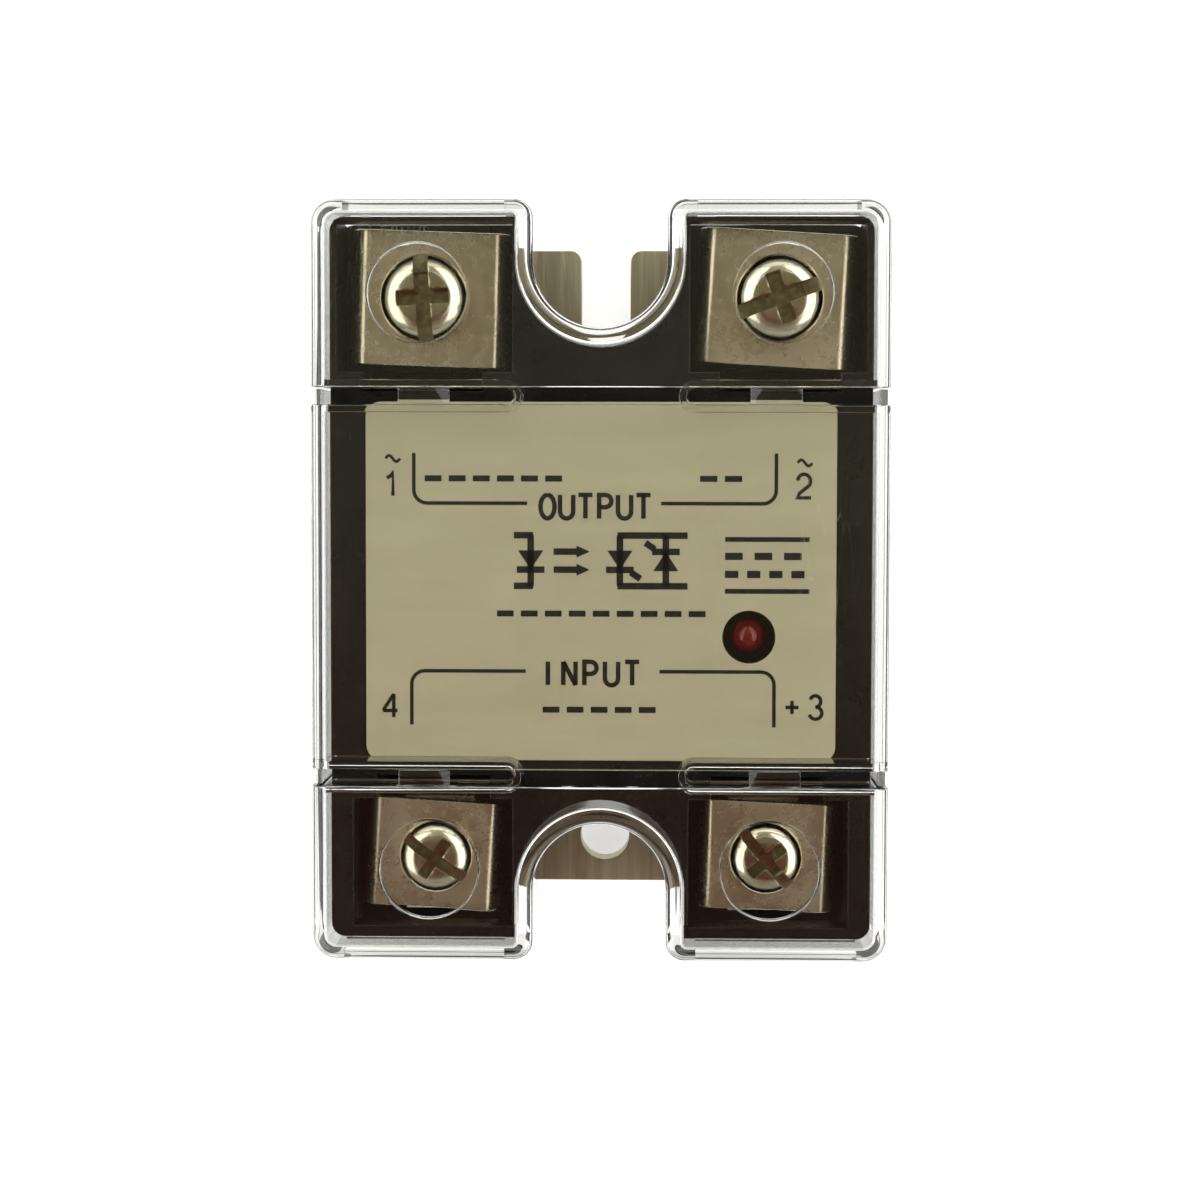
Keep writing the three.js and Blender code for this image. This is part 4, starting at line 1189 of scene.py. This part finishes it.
def ribbon(points, width):
    """Closed outline of a stroke of even width along a line of points."""
    left, right = [], []
    for i, (x, y) in enumerate(points):
        before = Vector(points[max(i - 1, 0)])
        after = Vector(points[min(i + 1, len(points) - 1)])
        here = Vector((x, y))
        into = (here - before).normalized() if i > 0 else (after - here).normalized()
        out = (after - here).normalized() if i < len(points) - 1 else into
        bisector = into + out
        normal = Vector((-bisector.y, bisector.x))
        normal.normalize()
        square = Vector((-into.y, into.x))
        stretch = min(1 / max(normal.dot(square), 0.4), 1.6)
        offset = normal * (width / 2 * stretch)
        left.append(tuple(here + offset))
        right.append(tuple(here - offset))
    return right + list(reversed(left))


def oval(x, y, width, height, start, end, steps=18):
    points = []
    for i in range(steps + 1):
        angle = math.radians(start + (end - start) * i / steps)
        points.append((x + width * math.cos(angle), y + height * math.sin(angle)))
    return points


# Strokes of each mark in a cell one unit high
MARKS = {
    "1": [[(0.08, 0.76), (0.24, 0.84), (0.34, 1.0), (0.34, 0.0)]],
    "2": [oval(0.3, 0.7, 0.27, 0.3, 175, -35) + [(0.1, 0.18), (0.02, 0.0), (0.6, 0.0)]],
    "3": [oval(0.27, 0.755, 0.23, 0.245, 160, -90, 14), oval(0.28, 0.26, 0.27, 0.26, 90, -165, 16)],
    "4": [[(0.46, 0.0), (0.46, 1.0)], [(0.46, 1.0), (0.0, 0.29)], [(0.0, 0.29), (0.62, 0.29)]],
    "+": [[(0.0, 0.42), (0.56, 0.42)], [(0.28, 0.14), (0.28, 0.7)]],
    "~": [[(0.62 * t / 16, 0.4 + 0.13 * math.sin(2 * math.pi * t / 16)) for t in range(17)]],
    "O": [oval(0.33, 0.5, 0.3, 0.5, 90, 450, 32)],
    "U": [
        [(0.04, 1.0), (0.04, 0.32)]
        + oval(0.32, 0.3, 0.28, 0.3, 180, 360, 14)
        + [(0.6, 0.32), (0.6, 1.0)]
    ],
    "T": [[(0.0, 1.0), (0.6, 1.0)], [(0.3, 1.0), (0.3, 0.0)]],
    "P": [
        [(0.06, 0.0), (0.06, 1.0), (0.3, 1.0)]
        + oval(0.32, 0.74, 0.26, 0.26, 90, -90, 12)
        + [(0.3, 0.48), (0.06, 0.48)]
    ],
    "I": [[(0.3, 0.0), (0.3, 1.0)]],
    "N": [[(0.06, 0.0), (0.06, 1.0)], [(0.06, 1.0), (0.58, 0.0)], [(0.58, 0.0), (0.58, 1.0)]],
}


def stroke_solid(bm, points, width, low, high):
    outline = ribbon(points, width)
    loft(bm, [[(x, y, z) for x, y in outline] for z in (low, high)])


def printed_marks():
    """Everything printed on the label, as a thin raised layer of ink."""
    low = LABEL_HIGH[2] + 0.004
    high = low + 0.012

    size = 1.95

    def write(bm, text, x, y, weight, pitch=0.0):
        for i, letter in enumerate(text):
            for line in MARKS[letter]:
                placed = [(x + i * pitch + px * size, y + py * size) for px, py in line]
                stroke_solid(bm, placed, weight, low, high)

    def corner(bm, start, bend, end, radius=1.1, weight=0.3):
        """Two straight lines joined by a round corner."""
        bx, by = bend
        to_start = Vector((start[0] - bx, start[1] - by)).normalized()
        to_end = Vector((end[0] - bx, end[1] - by)).normalized()
        centre = Vector(bend) + (to_start + to_end) * radius
        points = [start]
        for i in range(11):
            turn = math.pi / 2 * i / 10
            spot = centre - to_end * (radius * math.cos(turn)) - to_start * (radius * math.sin(turn))
            points.append(tuple(spot))
        points.append(end)
        stroke_solid(bm, points, weight, low, high)

    def dashes(bm, x0, x1, y, count, weight, share=0.7):
        step = (x1 - x0) / count
        for i in range(count):
            stroke_solid(bm, [(x0 + i * step, y), (x0 + (i + share) * step, y)], weight, low, high)

    def build(bm):
        corner(bm, (-15.5, 10.5), (-15.5, 6.35), (-6.1, 6.35))
        corner(bm, (14.5, 10.5), (14.5, 6.35), (5.0, 6.35))
        corner(bm, (-15.7, -12.1), (-15.7, -7.6), (-6.2, -7.6))
        corner(bm, (14.4, -12.2), (14.4, -7.6), (4.9, -7.6))
        write(bm, "OUTPUT", -5.05, 5.1, 0.38, 1.6)
        write(bm, "INPUT", -4.95, -8.75, 0.38, 1.75)
        write(bm, "1", -17.9, 6.95, 0.3)
        write(bm, "~", -17.85, 9.25, 0.24)
        write(bm, "2", 16.2, 6.85, 0.3)
        write(bm, "~", 16.25, 8.95, 0.24)
        write(bm, "4", -18.1, -11.5, 0.3)
        write(bm, "+", 15.35, -11.35, 0.3)
        write(bm, "3", 17.3, -11.5, 0.3)
        dashes(bm, -14.6, -2.6, 8.4, 6, 0.5)
        dashes(bm, 8.2, 12.3, 8.4, 2, 0.5)
        dashes(bm, -4.8, 5.2, -10.8, 5, 0.5)
        dashes(bm, -8.6, 9.3, -2.8, 9, 0.5)
        relay_symbol(bm, low, high)
        for y in (3.4, -0.9):
            stroke_solid(bm, [(10.3, y), (17.3, y)], 0.4, low, high)
        dashes(bm, 10.3, 17.6, 2.0, 3, 0.6, 0.6)
        dashes(bm, 10.3, 17.6, 0.5, 4, 0.6, 0.6)

    piece = solid("label_print", build)
    return dress(piece, INK, "relay_body")


def relay_symbol(bm, low, high):
    """Plain circuit drawing: a diode, two arrows and a pair of opposed thyristors."""
    weight = 0.55
    top, bottom, middle = 3.7, -0.5, 1.6

    def line(*points):
        stroke_solid(bm, list(points), weight, low, high)

    def wedge(tip, left, right):
        loft(bm, [[(x, y, z) for x, y in (tip, left, right)] for z in (low, high)])

    def valve(x, way):
        """A filled triangle on an upright lead, with a bar at its tip."""
        base, tip = middle + 0.85 * way, middle - 0.75 * way
        line((x, bottom), (x, top))
        wedge((x, tip), (x + 1.05 * way, base), (x - 1.05 * way, base))
        line((x - 1.15, tip), (x + 1.15, tip))

    def arrow(y):
        line((-3.9, y), (-1.9, y))
        wedge((-0.9, y), (-2.0, y + 0.5), (-2.0, y - 0.5))

    valve(-5.8, 1)
    arrow(middle + 0.75)
    arrow(middle - 0.75)
    valve(1.6, 1)
    valve(5.4, -1)
    for y in (top, bottom):
        line((1.4, y), (7.2, y))
        line((-7.2, y), (-5.6, y))
    line((2.5, middle - 0.95), (3.3, middle - 1.5))
    line((4.5, middle + 0.95), (3.7, middle + 1.5))


def lamp_pieces():
    low, high = LAMP_LOW, LAMP_HIGH
    x = (low[0] + high[0]) / 2
    y = (low[1] + high[1]) / 2
    radius = 1.5
    level = 17.4
    flange = radius + 0.4
    straight = high[2] - radius

    def dome(bm):
        profile = [(0, level), (radius + 0.3, level), (flange, level + 0.1), (flange, level + 0.9)]
        profile += [(radius + 0.3, level + 1), (radius, level + 1.05), (radius, straight)]
        for i in range(1, 12):
            angle = math.pi / 2 * i / 12
            profile.append((radius * math.cos(angle), straight + radius * math.sin(angle)))
        profile.append((0, high[2]))
        revolve(bm, profile, x, y, 48)

    def leads(bm):
        block(bm, x - 1.52, x - 1.02, y - 0.25, y + 0.25, low[2], level - 0.02)
        block(bm, x + 1.02, x + 1.52, y - 0.25, y + 0.25, low[2], level - 0.02)

    def cup(bm):
        profile = [(0, level + 0.4), (0.3, level + 0.4), (0.32, straight - 0.9), (0.75, straight - 0.2)]
        profile += [(0.68, straight - 0.2), (0.35, straight - 0.7), (0, straight - 0.72)]
        revolve(bm, profile, x, y, 32)

    body = solid("lamp_dome", dome)
    smooth(body, 40)
    dress(body, LAMP, "relay_body", ("led",))
    legs = solid("lamp_leads", leads)
    dress(legs, TINNED)
    anvil = solid("lamp_cup", cup)
    smooth(anvil, 40)
    dress(anvil, TINNED)


# --- Circuit inside: CAD shapes kept, with their own finishes ---

INSIDE = {
    "white alumina": ("ceramic_substrate",),
    "bare copper": ("copper_pad_left", "copper_pad_right", "strap_left", "strap_right"),
    "polished silicon": ("thyristor_left", "thyristor_right"),
    "tinned wire": ("gate_lead_left", "gate_lead_right"),
    "green board laminate": ("circuit_board",),
    "black moulded package": ("optocoupler", "input_diode", "input_transistor"),
    "red dipped capacitor": ("snubber_capacitor",),
    "cement coated resistor": ("snubber_resistor",),
    "blue lacquered resistor": ("gate_resistor_left", "gate_resistor_right", "input_resistor"),
    "dark potting resin": ("potting",),
}


def finish_inside():
    for name, kept in INSIDE.items():
        for node in kept:
            mesh = frame["nodes"][node].data
            mesh.materials.clear()
            mesh.materials.append(PLAIN[name])


# --- Floor, light and camera ---

def pale_floor():
    light, dark = (0.93, 0.93, 0.925), (0.91, 0.91, 0.905)
    finish = plain_finish("pale floor", light, dark, (0.7, 0.85), 6.0, 300.0, 0.02)
    finish.shader.inputs["Emission Color"].default_value = (1, 1, 1, 1)
    finish.shader.inputs["Emission Strength"].default_value = 0.6
    mesh = bpy.data.meshes.new("floor")
    half = 3.0
    corners = [(-half, -half, 0), (half, -half, 0), (half, half, 0), (-half, half, 0)]
    mesh.from_pydata(corners, [], [(0, 1, 2, 3)])
    mesh.materials.append(finish.material)
    floor = put("floor", mesh)


def soft_box(name, place, size, power):
    light = bpy.data.lights.new(name, "AREA")
    light.shape = "RECTANGLE"
    light.size, light.size_y = size
    light.energy = power
    lamp = put(name, light)
    lamp.location = place
    aim = Vector((0, 0, 0.02)) - Vector(place)
    lamp.rotation_euler = aim.to_track_quat("-Z", "Y").to_euler()


def studio():
    """Soft boxes at both sides and the far end, in a dim room, warmer towards the input end."""
    soft_box("left soft box", (-0.46, 0.12, 0.46), (1.2, 0.5), 4.0)
    soft_box("right soft box", (0.46, 0.12, 0.46), (1.2, 0.5), 4.6)
    soft_box("far soft box", (0.0, 0.8, 0.5), (0.8, 0.35), 1.6)
    world = bpy.data.worlds.new("room")
    bpy.context.scene.world = world
    world.use_nodes = True
    tree = world.node_tree
    tree.nodes.clear()
    nodes = Nodes(tree)
    coords = nodes.add("ShaderNodeTexCoord").outputs["Generated"]
    parts = nodes.add("ShaderNodeSeparateXYZ")
    nodes.link(coords, parts.inputs[0])
    share = nodes.remap(parts.outputs["Y"], -0.16, 0.02, 0.0, 1.0)
    up = nodes.remap(parts.outputs["Z"], 0.55, 0.93, 0.0, 1.0)
    ceiling = nodes.mix(share, (0.13, 0.055, 0.037, 1), (0.2, 0.18, 0.115, 1))
    colour = nodes.mix(up, (0.5, 0.5, 0.485, 1), ceiling)
    background = nodes.add("ShaderNodeBackground")
    nodes.link(colour, background.inputs["Color"])
    background.inputs["Strength"].default_value = 1.0
    output = nodes.add("ShaderNodeOutputWorld")
    nodes.link(background.outputs[0], output.inputs["Surface"])


def camera():
    data = bpy.data.cameras.new("camera")
    data.lens = 63.4
    data.sensor_width = 36
    data.shift_y = -0.04
    data.clip_start = 0.01
    data.clip_end = 20
    eye = put("camera", data)
    eye.location = (0.00387, 0.0100, (COVER_TOP + 170.8) * MM)
    eye.rotation_euler = (math.radians(-2.51), math.radians(1.29), math.radians(0.11))
    bpy.context.scene.camera = eye
    bpy.context.scene.view_settings.view_transform = "Standard"


# --- Build ---

pressed_base_plate()
moulded_housing()
label_sheet()
printed_marks()
lamp_pieces()
finish_inside()
strips_and_nuts()
for number, hardware, clamp_shift, clamp_turn, slot_turn in TERMINALS:
    saddle_clamp(number, hardware, clamp_shift, clamp_turn)
    pan_head_screw(number, hardware, slot_turn)
clear_centre()
axes = {number: screw_axis(number)[:2] for number in (1, 2, 3, 4)}
clear_flap("clear_flap_output", "flap_output", "flap_output_body", 1, OUTPUT_LOW[1], (axes[1], axes[2]))
clear_flap("clear_flap_input", "flap_input", "flap_input_body", -1, INPUT_HIGH[1], (axes[3], axes[4]))
hinge_tabs()
pale_floor()
studio()
camera()
